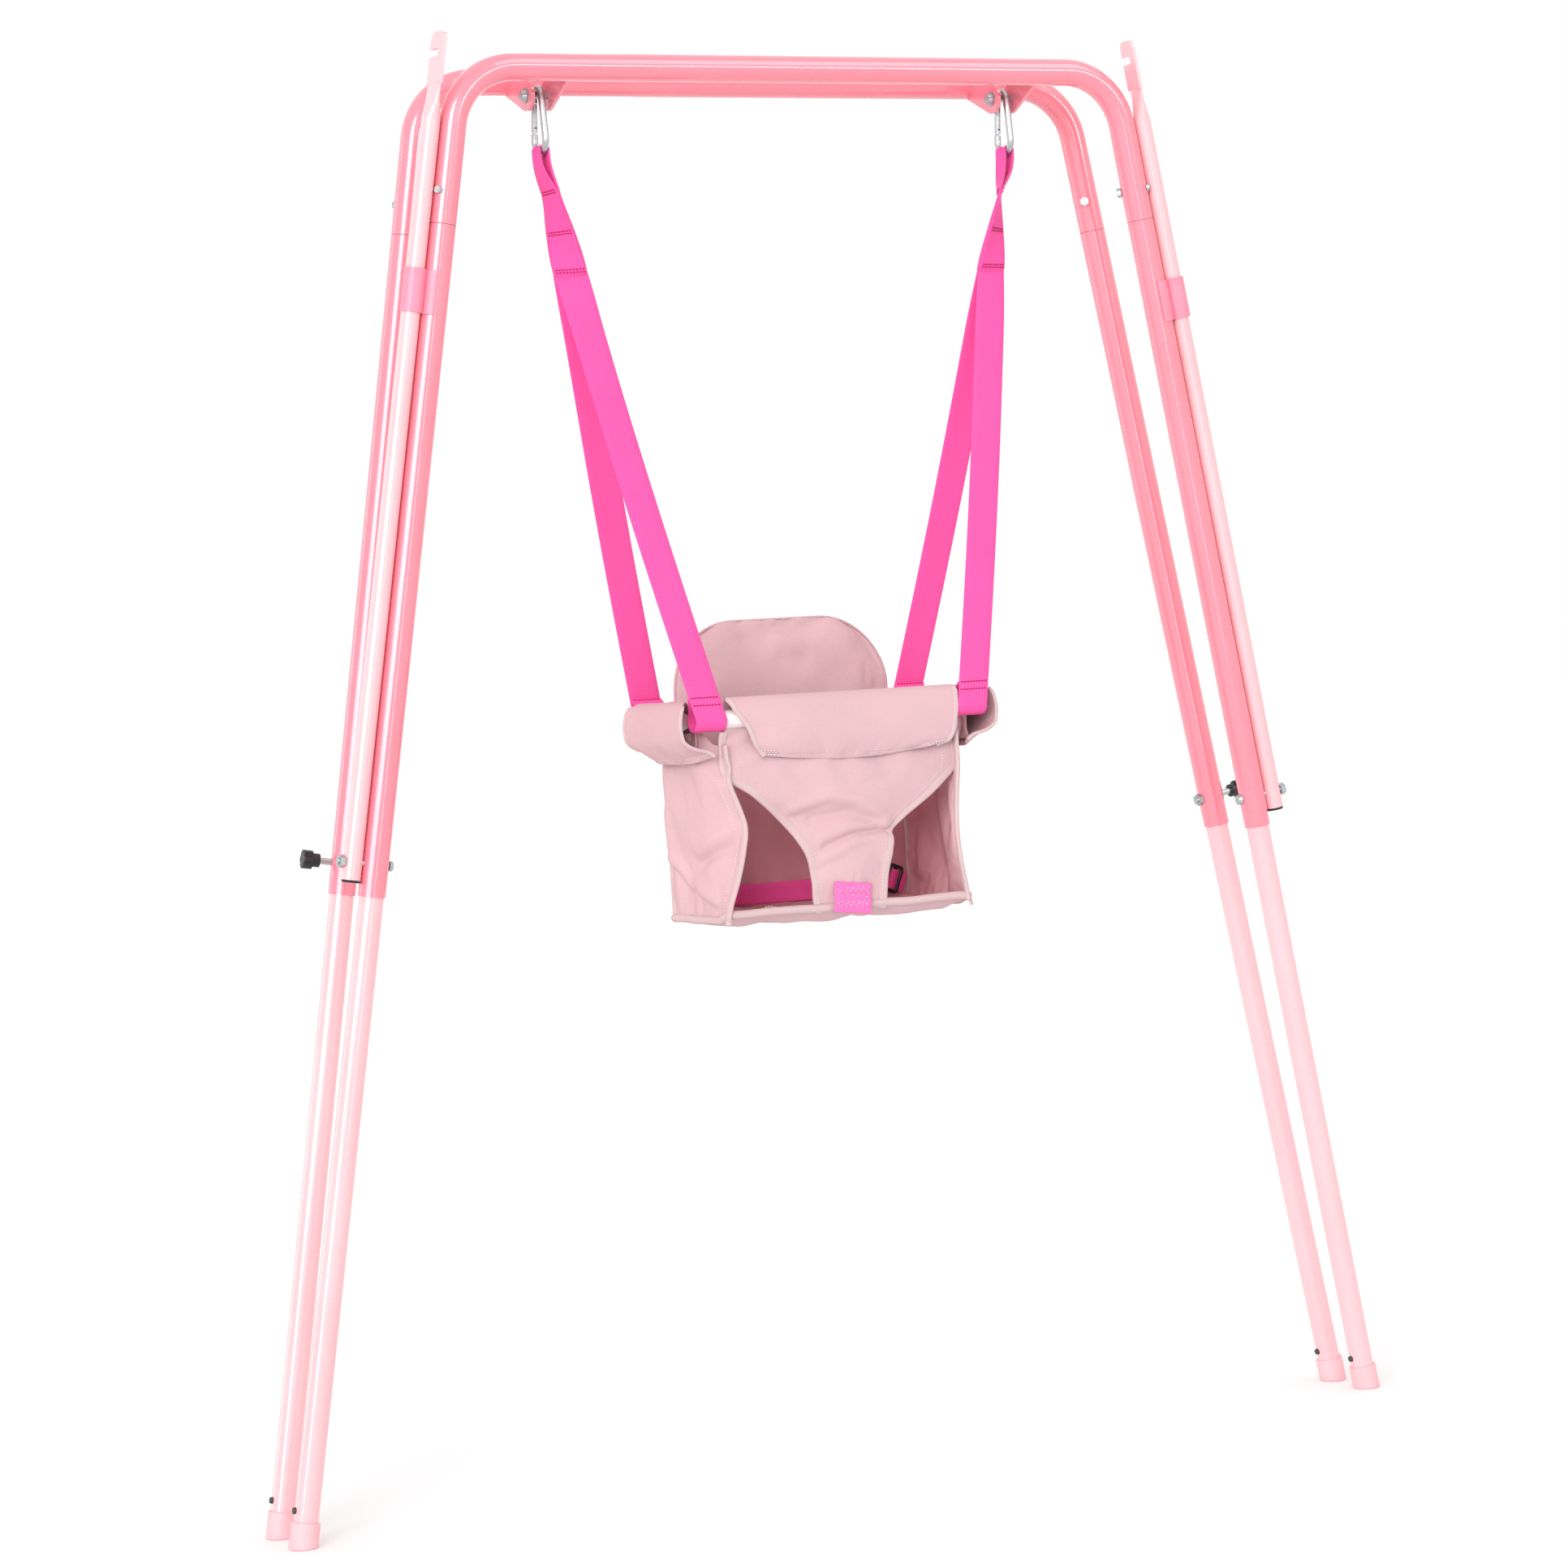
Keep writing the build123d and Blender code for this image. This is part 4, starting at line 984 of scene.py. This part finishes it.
# Sleeves: rings round the dowels as (out, height), and half lengths by the share of the ring
FRONT_RING = (
    (2.6, 856), (9, 868), (13.2, 886), (13.6, 902), (9.5, 917), (0, 924), (-9.5, 918), (-14, 903),
    (-13.4, 886), (-10.0, 866), (-6.5, 854),
)
FRONT_FLAP = {
    LEFT: ((0, 140), (0.5, 147), (0.62, 142), (0.8, 123), (1, 104)),
    RIGHT: ((0, 140), (0.5, 150), (0.7, 150), (0.84, 147), (0.93, 138), (1, 124)),
}
SIDE_RING = (
    (-10, 858), (-13.0, 874), (-13.6, 889), (-12.2, 906), (-7.5, 917), (0.5, 921.5), (9, 918),
    (15, 908), (17, 895), (15, 881), (7, 868), (-4, 859), (-12.0, 852),
)
SIDE_FLAP = ((0, 56), (0.38, 58), (0.46, 68), (0.56, 77), (1, 80))
BACK_RING = (
    (9.5, 852), (13.0, 868), (13.8, 886), (13.8, 902), (10.5, 916), (3, 922), (-6, 919), (-12.4, 908),
    (-13.2, 896), (-11.6, 878), (-8.0, 856),
)
BACK_SLEEVE_HALF = 149.0
# Folds as height, width and points of a line, in the panel's own two directions
FRONT_FOLDS = (
    (4.5, 7, (-69, 790), (-26, 803), (15, 796), (41, 779), (52, 766)),
    (-3.5, 7, (-45, 776), (0, 782), (42, 768)),
    (4.0, 6, (-34, 752), (2, 764), (48, 766)),
    (-3.0, 5, (-30, 741), (10, 755), (50, 757)),
    (3.5, 6, (-30, 730), (12, 746), (50, 750)),
)
SIDE_FOLDS = {
    LEFT: (
        (5.0, 9, (-14, 746), (-60, 768), (-90, 784)),
        (-4.0, 8, (-20, 734), (-60, 750), (-85, 762)),
        (4.5, 8, (48, 736), (10, 709), (-45, 688)),
        (-3.5, 7, (20, 728), (-6, 690)),
        (3.5, 9, (62, 790), (44, 700)),
    ),
    RIGHT: (
        (-4.0, 13, (50, 812), (44, 700)),
        (3.0, 15, (20, 806), (-6, 706)),
        (-3.0, 16, (-20, 790), (-44, 690)),
    ),
}
BACK_DENTS = (
    (4.0, 12, (-45, 992), (-22, 984)),
    (4.0, 13, (2, 968), (26, 962)),
    (-3.0, 16, (-10, 978), (8, 976)),
    (3.0, 20, (60, 940), (90, 950)),
)
SIDE_SEED = {LEFT: 10, RIGHT: 12}
# Rise of the lap belt's middle along its length, its thickness, and where it passes its slider
BELT_RISE = ((-150, 0), (-130, 0), (-70, -10), (50, -10), (92, 10), (133, -5.5), (150, -12.5))
BELT_THICKNESS, SLIDER_X, SLIDER_Y = 2.0, 133.0, 67.2
# Thickness of the sleeves, first row of a sleeve that hangs free, and where stitches lie on the cloth
SLEEVE, BACK_SLEEVE, FREE_ROW = 2.6, 2.4, 24
ON_PANEL, ON_HEM, ON_TACK, ON_BACK_SLEEVE, ON_BASE = 2.0, 1.6, 1.9, 1.5, 5.0
TACK_STITCH, ZIGZAG_STITCH = 1.0, 0.7


def ring_path(ring, v):
    """Smooth run through ring points spaced evenly in v."""
    far = np.linspace(0, 1, len(ring))
    return [curve_through(np.stack([far, np.array(ring, float)[:, k]], -1), v) for k in (0, 1)]


def seat_pad(name, node, middle, thickness, interior_shade_share=None):
    """Padded canvas of the seat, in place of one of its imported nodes."""
    pad = padded_shape(middle, np.broadcast_to(thickness, middle.shape[:2]), interior_shade_share)
    pad.piece(f"seat_{name}", "canvas", "seat_fabric", [f"seat_{node}"], 1)


def edge_tape(tape, path, toward):
    """Binding of a panel along one of its edges."""
    bound(tape, path, toward, size("binding_width"), size("binding_thickness"))


def hem(seams, grid, outward, tacks):
    """Two rows of stitches along a sleeve's hem, and heavier tacks at both corners."""
    for row in (-4, -2):
        stitched(seams, grid[row] + outward * ON_HEM, outward)
    for column in (slice(0, 5), slice(-5, None)):
        for row in tacks:
            stitched(seams, grid[row, column] + outward * ON_TACK, outward, TACK_STITCH)


def seat_trim(name, tape, seams):
    """Binding and stitching of one panel as two pieces."""
    tape.piece(f"seat_{name}_binding", "binding", "seat_fabric")
    seams.piece(f"seat_{name}_seams", "seat_thread", "seat_fabric")


class MakeSeatFront(bpy.types.Operator):
    """Front panel with its leg curves, sleeve flap, binding and seams"""

    bl_idname = "swing.make_seat_front"
    bl_label = "Make the seat front"

    def execute(self, context):
        """Panel: x runs between the two edge curves, y bulges by sines and takes ripples and folds."""
        y0 = DOWEL_Y[FRONT]
        rows, columns = 60, 50
        z = np.linspace(FRONT_TOP, BASE_MID, rows)[:, None]
        u = np.linspace(0, 1, columns)[None]
        left, right = curve_through(LEFT_EDGE, z), curve_through(RIGHT_EDGE, z)
        x = -left + (left + right) * u
        z = np.broadcast_to(z, x.shape)
        bulge = np.sin(math.pi * u) * smooth((FRONT_TOP - z) / 60) * smooth((z - BASE_MID) / 50)
        y = y0 - 5.0 * bulge + ripple(x, z, seed=5, height=2.0) * bulge - folded(x, z, FRONT_FOLDS)
        panel = settled(np.stack([x, y, z], -1), edge_pins(rows, columns, "tb"), spare=0.02, cap=5.0)
        seat_pad("front_canvas", "front_panel", panel, size("panel"))
        tape, seams = Shape(), Shape()
        for column, inner in ((0, 3), (-1, -4)):
            edge_tape(tape, panel[2:, column], TO_FRONT)
            stitched(seams, panel[10:-2, inner] + TO_FRONT * ON_PANEL, TO_FRONT)
        self.flap(y0, tape, seams)
        seat_trim("front", tape, seams)
        self.tab(panel)
        return {"FINISHED"}

    def flap(self, y0, tape, seams):
        """Sleeve: a sheet carried round the dowel from its seam up the back, over and down the front,
        one end slanted and the other cut at its corner."""
        v = np.linspace(0, 1, 46)[:, None]
        y, z = ring_path(FRONT_RING, v)
        left, right = (curve_through(FRONT_FLAP[side], v) for side in (LEFT, RIGHT))
        u = np.linspace(0, 1, 54)[None]
        x = -left + (left + right) * u
        sag = np.sin(math.pi * u) * smooth((v - 0.55) / 0.45)
        grid = np.stack([x, y0 + y - 3.0 * sag, z - 9.0 * sag], -1)
        grid = settled(grid, edge_pins(*x.shape, "tb"), spare=0.012, cap=2.5)
        seat_pad("front_sleeve", "front_panel", grid, SLEEVE)
        for column in (0, -1):
            bound(tape, grid[FREE_ROW:, column], TO_FRONT, width=7.0, thickness=4.4)
        hem(seams, grid, TO_FRONT, tacks=(-4, -3, -2))

    def tab(self, panel):
        """Crotch tab: a band that follows the panel's middle, tucked out over the base's edge, sewn on
        with zigzags."""
        low, high = span_of("crotch_tab")
        width, lift, count = high[0] - low[0] - 3, 1.2, 13
        middle = panel[:, panel.shape[1] // 2]
        z = np.linspace(high[2], low[2] - 2, 14)
        lying = np.interp(-z, -middle[:, 2], middle[:, 1]) - size("panel") / 2 - lift
        path = np.stack([(z - low[2]) * 0.12 - 2.0, lying - 5.5 * smooth((684 - z) / 8), z], -1)
        tab, seams = Shape(), Shape()
        bound(tab, path, TO_FRONT, width, thickness=2.2)
        made = tab.piece("crotch_tab_webbing", "woven_tab", "webbing", ["crotch_tab"])
        zigzag = np.stack([np.linspace(-21, 21, count), np.full(count, -lift),
                           3.2 * (-1.0) ** np.arange(count)], -1)
        for rise in (9, 17, 25):
            at = np.argmin(abs(z - low[2] - rise))
            stitched(seams, path[at] + zigzag, TO_FRONT, ZIGZAG_STITCH)
        sewn = seams.piece("crotch_tab_seams", "tab_thread", "webbing")


class MakeSeatSides(bpy.types.Operator):
    """Side panels that lean out to their sleeves, with flaps, binding and seams"""

    bl_idname = "swing.make_seat_sides"
    bl_label = "Make the seat sides"

    def execute(self, context):
        for side in (LEFT, RIGHT):
            self.side_panel(side)
        return {"FINISHED"}

    def side_panel(self, side):
        """Panel: x runs from the base edge up to the sleeve in the middle and to the corner seams at
        its ends, drawn in at the front edge, and takes ripples and folds."""
        rows, columns = 54, 40
        fall = np.linspace(0, 1, rows)[:, None]
        u = np.linspace(0, 1, columns)[None]
        near = np.minimum(u, 1 - u)
        top = 870 + 16 * smooth((near - 0.09) / 0.06)
        z = top + (BASE_MID - top) * fall
        rise = np.clip((z - BASE_MID) / 190, 0, 1)
        bow = np.sin(math.pi * np.clip((z - 668) / 164, 0, 1)) ** 1.3
        front = DOWEL_Y[FRONT] - 1.0 - 11.0 * bow
        y = front + (DOWEL_Y[REAR] + 1.0 - front) * u
        base = 158.0
        corner = base - 4.5 * rise + 6.0 * rise * u
        middle = base + 17.0 * rise + 13.0 * smooth((z - 848) / 36)
        inward = 14.0 * bow * (1 - smooth(u / 0.38))
        swell = np.sin(math.pi * u) * np.sin(math.pi * rise)
        x = corner + (middle - corner) * smooth(u / 0.32) * smooth((1 - u) / 0.18) - inward
        x = x + ripple(y, z, SIDE_SEED[side], height=2.0) * swell
        x = side * (x + folded(y, z, SIDE_FOLDS[side]) * smooth(near / 0.15))
        sewn = "tblr" if side == RIGHT else "tbr"
        grid = settled(np.stack([x, y, z], -1), edge_pins(rows, columns, sewn), spare=0.025, cap=6.0)
        if side == LEFT:
            grid = grid[:, ::-1]
        # Painted interior shade on the panel's inner face: a share from 0.3 at the front to full at
        # the rear, deeper in the seat where shade falls; none on the outer face
        painted_interior_shade = 0.3 + 0.7 * smooth((grid[..., 1] + 80) / 150)
        name = SIDE_NAME[side]
        seat_pad(f"{name}_canvas", f"{name}_panel", grid, size("panel"), (painted_interior_shade, 0.0))
        tape, seams = Shape(), Shape()
        outward = np.array([side * 1.0, 0, 0])
        front_column, rear_column, inner = (-1, 0, -4) if side == LEFT else (0, -1, 3)
        for column in (front_column, rear_column):
            edge_tape(tape, grid[:, column], outward)
        stitched(seams, grid[2:-2, inner] + outward * ON_PANEL, outward)
        self.flap(side, tape, seams)
        seat_trim(name, tape, seams)

    def flap(self, side, tape, seams):
        """Sleeve: a sheet carried round the side dowel, longer outside, its hem drawn in at the
        corners."""
        v = np.linspace(0, 1, 48)[:, None]
        x, z = ring_path(SIDE_RING, v)
        u = np.linspace(-1, 1, 34)[None]
        y = curve_through(SIDE_FLAP, v) * u
        low = smooth((v - 0.74) / 0.26)
        draw = 13.0
        drawn = draw * smooth((np.abs(u) - 0.55) / 0.45) * low
        sag = (1 - u**2) * low
        grid = np.stack([side * (SIDE_DOWEL_X + x - drawn), y, z - 3.0 * sag + 5.0 * drawn / draw], -1)
        grid = settled(grid, edge_pins(*y.shape, "tb"), spare=0.012, cap=2.5)
        if side == LEFT:
            grid = grid[:, ::-1]
        name = SIDE_NAME[side]
        seat_pad(f"{name}_sleeve", f"{name}_panel", grid, SLEEVE)
        outward = np.array([side * 1.0, 0, 0])
        for column in (0, -1):
            bound(tape, grid[FREE_ROW:, column], outward, width=6.0, thickness=4.2)
        hem(seams, grid, outward, tacks=(-3,))


class MakeSeatBack(bpy.types.Operator):
    """Padded backrest with its round shoulders, sleeve and lap belt"""

    bl_idname = "swing.make_seat_back"
    bl_label = "Make the seat back"

    shoulder, half_width, thin, swell = 85.0, 143.0, 4.0, 2.0

    def execute(self, context):
        """Pad: its half width follows quarter circles at the shoulders and then straight sides, y is
        crowned, rippled, dented and leaned back at the top."""
        y0 = DOWEL_Y[REAR]
        turn = np.linspace(math.pi / 2, 0, 18)
        start = BACK_TOP - self.shoulder
        straight = np.linspace(start, BASE_MID, 40)[1:]
        z = np.concatenate([start + self.shoulder * np.sin(turn), straight])[:, None]
        curved = self.half_width - self.shoulder + self.shoulder * np.cos(turn)
        half = np.concatenate([curved, 0 * straight + self.half_width])[:, None]
        half = half + 14.0 * smooth((880 - z) / 30)
        u = np.linspace(-1, 1, 50)[None]
        x = half * u
        z = np.broadcast_to(z, x.shape)
        padding = smooth((z - 860) / 70)
        crown = (1 - u**2) * smooth((BACK_TOP - z) / 60) * padding
        y = y0 - 2.0 * crown + ripple(x, z, seed=3, height=2.4) * crown
        y = y + folded(x, z, BACK_DENTS) * padding + 8.0 * smooth((z - 930) / 80)
        grid = settled(np.stack([x, y, z], -1), edge_pins(*x.shape), spare=0.02, cap=4.0)
        depth = np.minimum((1 - np.abs(u)) * half, BACK_TOP - z)
        full = size("back") - (self.thin + self.swell)
        thick = self.thin + self.swell * smooth(depth / 20) + full * smooth(depth / 36) * padding
        # Painted interior shade on the backrest's seat-side face below the sleeve; none on its rear
        # face
        seat_pad("back_pad", "back_panel", grid, thick, (0.0, smooth((866 - z) / 20)))
        tape, seams = Shape(), Shape()
        rim = np.concatenate([grid[::-1, 0][1:], grid[0, 1:-1], grid[:, -1][:-1]])
        bound(tape, rim, TO_FRONT, width=3.6, thickness=4.2)
        self.sleeve(y0, seams)
        tape.piece("seat_back_piping", "canvas", "seat_fabric")
        seams.piece("seat_back_seams", "seat_thread", "seat_fabric")
        self.belt()
        return {"FINISHED"}

    def sleeve(self, y0, seams):
        """Sleeve: a sheet carried round the rear dowel, over the backrest's back and front."""
        rows, columns = 40, 44
        y, z = ring_path(BACK_RING, np.linspace(0, 1, rows)[:, None])
        x = BACK_SLEEVE_HALF * np.linspace(-1, 1, columns)[None]
        grid = np.stack(np.broadcast_arrays(x, y0 + y, z), -1)
        grid = settled(grid, edge_pins(rows, columns, "tb"), spare=0.012, cap=2.0)
        seat_pad("back_sleeve", "back_panel", grid, BACK_SLEEVE)
        for row, way in ((2, 1.0), (-3, -1.0)):
            facing = np.array([0, way, 0])
            stitched(seams, grid[row] + facing * ON_BACK_SLEEVE, facing)

    def belt(self):
        """Lap belt along the back: slack in the middle, raised before its slider and led down through
        it, behind the slider's rails and over its middle bar."""
        low, high = span_of("lap_belt")
        width = high[2] - low[2]
        x = np.linspace(low[0] + 2, high[0] - 2, 150)
        z = (low[2] + high[2]) / 2 + curve_through(BELT_RISE, x)
        over = 3.6 * np.exp(-(((x - SLIDER_X) / 4.6) ** 2))
        path = np.stack([x, (low[1] + high[1]) / 2 - over, z], -1)
        belt = bound(Shape(), path, TO_FRONT, width, BELT_THICKNESS)
        made = belt.piece("lap_belt_webbing", "woven_strap", "webbing", ["lap_belt"])
        self.slider(*(path[np.argmin(abs(x - SLIDER_X - past))] for past in (0, 6)))

    def slider(self, middle, after):
        """Slider square to the belt: a round-cornered frame with one bar across its middle."""
        tilt = math.atan2(middle[2] - after[2], after[0] - middle[0])
        along = np.array([math.cos(tilt), 0, -math.sin(tilt)])
        upright = np.array([math.sin(tilt), 0, math.cos(tilt)])
        half_wide, half_tall, corner = 8.4, 15.4, 3.0
        turn = circle(48)
        p = np.sign(np.cos(turn)) * (half_wide - corner) + corner * np.cos(turn)
        q = np.sign(np.sin(turn)) * (half_tall - corner) + corner * np.sin(turn)
        place = np.array([middle[0], SLIDER_Y, middle[2] + 1.0])
        path = place + p[:, None] * along + q[:, None] * upright
        shape = looped(Shape(), path, np.broadcast_to(TO_FRONT, path.shape), tape_section(4.2, 2.8))
        bar = place - TO_FRONT * 1.8 + np.linspace(-half_tall, half_tall, 6)[:, None] * upright
        bound(shape, bar, TO_FRONT, width=4.0, thickness=2.2)
        shape.piece("belt_slider_frame", "black_moulding", "black_plastic", ["belt_slider"])


class MakeSeatBase(bpy.types.Operator):
    """Base pad with its binding and tails"""

    bl_idname = "swing.make_seat_base"
    bl_label = "Make the seat base"

    def execute(self, context):
        """Pad: a flat grid that dips by sines in its middle, lifts along its front lip and ripples."""
        low, high = BASE_LOW, BASE_HIGH
        rows, columns = 34, 60
        v = np.linspace(0, 1, rows)[:, None]
        u = np.linspace(0, 1, columns)[None]
        x = np.broadcast_to(low[0] + 2 + (high[0] - low[0] - 4) * u, (rows, columns))
        y = np.broadcast_to(low[1] + 1 + (high[1] - low[1] - 2) * v, (rows, columns))
        dip = np.sin(math.pi * u) * np.sin(math.pi * v)
        lip = 1 - smooth((y - low[1]) / 30)
        z = BASE_MID - 3.0 * dip + 7.0 * lip + ripple(x, y, seed=9, height=2.2) * (0.6 + dip)
        grid = settled(np.stack([x, y, z], -1), edge_pins(rows, columns), spare=0.015, cap=3.0)[::-1]
        near = np.minimum(np.minimum(u, 1 - u) * (high[0] - low[0]),
                          np.minimum(v, 1 - v) * (high[1] - low[1]))
        # Painted interior shade on the base's upper face: full from 12 mm in from the edges, none
        # within 6 mm of them, none underneath
        painted_interior_shade = smooth((near - 6) / 6)
        seat_pad("base_pad", "base", grid, 5.0 + 7.0 * smooth(near / 26), (0.0, painted_interior_shade))
        tape, seams = Shape(), Shape()
        around = np.concatenate([grid[-1], grid[::-1, -1][1:], grid[0, ::-1][1:], grid[:, 0][1:-1]])
        bound(tape, around, TO_TOP, width=8.0, thickness=10.0)
        for side, corner in ((LEFT, grid[-1, 0]), (RIGHT, grid[-1, -1])):
            tail = corner + np.linspace(0, 1, 8)[:, None] * np.array([side * 2.0, -2.0, -12.0])
            bound(tape, tail, np.array([side * 0.6, -0.8, 0]), width=7.0, thickness=2.4)
        stitched(seams, grid[-3] + TO_TOP * ON_BASE, TO_TOP)
        seat_trim("base", tape, seams)
        return {"FINISHED"}


def turn_about(axis, angle):
    """Rotation by an angle about the x, y or z axis, numbered from 0."""
    turn = np.eye(3)
    first, second = (axis + 1) % 3, (axis + 2) % 3
    turn[first, first] = turn[second, second] = math.cos(angle)
    turn[first, second], turn[second, first] = -math.sin(angle), math.sin(angle)
    return turn


class MakeStage(bpy.types.Operator):
    """Pale floor, soft studio light and the camera"""

    bl_idname = "swing.make_stage"
    bl_label = "Make the stage"

    camera_place = (-2.2958, -4.5837, 0.9723)
    camera_turn = (26.1916, -1.7397, 3.2671)
    sensor, focal_pixels, frame_pixels = 36, 5268.1, 1932
    lens = sensor * focal_pixels / frame_pixels
    aim = (0, 0, 0.95)
    # Suns as name, place, energy and spread in degrees; strips as name, place, size and power
    windows = (
        ("front_window", (-3.6, -4.4, 2.9), 1.5, 30),
        ("side_window", (-5.0, -2.9, 1.5), 0.5, 20),
    )
    strips = (
        ("bar_strip", (2.3, -4.7, 2.5), (3.0, 0.45), 44),
        ("bar_card", (2.3, -3.2, 4.9), (3.6, 2.6), 70),
        ("front_strip", (-0.8, -5.4, 1.8), (0.35, 3.6), 26),
        ("edge_strip", (-4.0, 2.9, 1.6), (0.2, 3.6), 16),
        ("rear_strip", (1.5, 4.6, 2.6), (0.8, 3.0), 30),
    )

    def execute(self, context):
        scene = context.scene
        self.floor(scene)
        self.lights(scene)
        self.camera(scene)
        scene.view_settings.view_transform = "Standard"
        return {"FINISHED"}

    def floor(self, scene):
        """One square face at the ground."""
        half = scene.swing_sizes.floor
        corners = [(-half, -half, 0), (half, -half, 0), (half, half, 0), (-half, half, 0)]
        mesh = bpy.data.meshes.new("floor")
        mesh.from_pydata(corners, [], [(0, 1, 2, 3)])
        finish = Finish("floor_paper")
        grain = finish.noise(3.0, 2.0)
        mesh.materials.append(finish.done(
            Base_Color=finish.blend(grain, (0.88, 0.88, 0.88), (0.91, 0.91, 0.91)), Roughness=0.9))
        made = bpy.data.objects.new("floor", mesh)
        scene.collection.objects.link(made)

    def lights(self, scene):
        """White sky, two soft suns, and strips that show in the gloss alone."""
        world = bpy.data.worlds.new("studio")
        world.use_nodes = True
        sky = world.node_tree.nodes["Background"]
        sky.inputs["Color"].default_value = (1, 1, 1, 1)
        sky.inputs["Strength"].default_value = 1.0
        scene.world = world
        lamps = []
        for name, place, energy, spread in self.windows:
            sun = bpy.data.lights.new(name, "SUN")
            sun.energy, sun.angle = energy, math.radians(spread)
            lamps.append((name, sun, place))
        for name, place, (wide, tall), power in self.strips:
            lamp = bpy.data.lights.new(name, "AREA")
            lamp.shape, lamp.size, lamp.size_y, lamp.energy = "RECTANGLE", wide, tall, power
            lamps.append((name, lamp, place))
        for name, lamp, place in lamps:
            made = bpy.data.objects.new(name, lamp)
            made.location = place
            made.rotation_mode = "QUATERNION"
            made.rotation_quaternion = (Vector(self.aim) - Vector(place)).to_track_quat("-Z", "Y")
            made.visible_camera = False
            made.visible_diffuse = lamp.type == "SUN"
            scene.collection.objects.link(made)

    def camera(self, scene):
        """Camera that looks along y, turned by yaw, pitch and roll."""
        data = bpy.data.cameras.new("camera")
        data.lens, data.sensor_width, data.sensor_fit = self.lens, self.sensor, "HORIZONTAL"
        data.clip_start, data.clip_end = 0.05, 300
        made = bpy.data.objects.new("camera", data)
        scene.collection.objects.link(made)
        yaw, pitch, roll = np.radians(self.camera_turn)
        turn = turn_about(2, -yaw) @ turn_about(0, pitch) @ turn_about(1, roll)
        matrix = np.eye(4)
        matrix[:3, 0], matrix[:3, 1], matrix[:3, 2] = turn[:, 0], turn[:, 2], -turn[:, 1]
        matrix[:3, 3] = self.camera_place
        made.matrix_world = Matrix(matrix.tolist())
        scene.camera = made


class SwingPanel(bpy.types.Panel):
    """Sidebar panel with the swing's sizes, colours and steps"""

    bl_idname = "VIEW3D_PT_swing"
    bl_label = "Toddler swing"
    bl_space_type = "VIEW_3D"
    bl_region_type = "UI"
    bl_category = "Swing"

    def draw(self, context):
        for group in (context.scene.swing_colours, context.scene.swing_sizes):
            for key in group.__annotations__:
                self.layout.prop(group, key)
        for step in STEPS:
            self.layout.operator(step.bl_idname)


GROUPS = (SwingColours, SwingSizes)
STEPS = (
    PaintFrames, DrawJointGapShadows, MakeClips, MakeDowels, MakeStraps,
    MakeSeatFront, MakeSeatSides, MakeSeatBack, MakeSeatBase, MakeStage,
)


def register():
    for made in (*GROUPS, *STEPS, SwingPanel):
        bpy.utils.register_class(made)
    bpy.types.Scene.swing_colours = bpy.props.PointerProperty(type=SwingColours)
    bpy.types.Scene.swing_sizes = bpy.props.PointerProperty(type=SwingSizes)


def unregister():
    del bpy.types.Scene.swing_colours, bpy.types.Scene.swing_sizes
    for made in reversed((*GROUPS, *STEPS, SwingPanel)):
        bpy.utils.unregister_class(made)


def main():
    register()
    for step in STEPS:
        group, name = step.bl_idname.split(".")
        getattr(getattr(bpy.ops, group), name)()


if __name__ == "__main__":
    main()
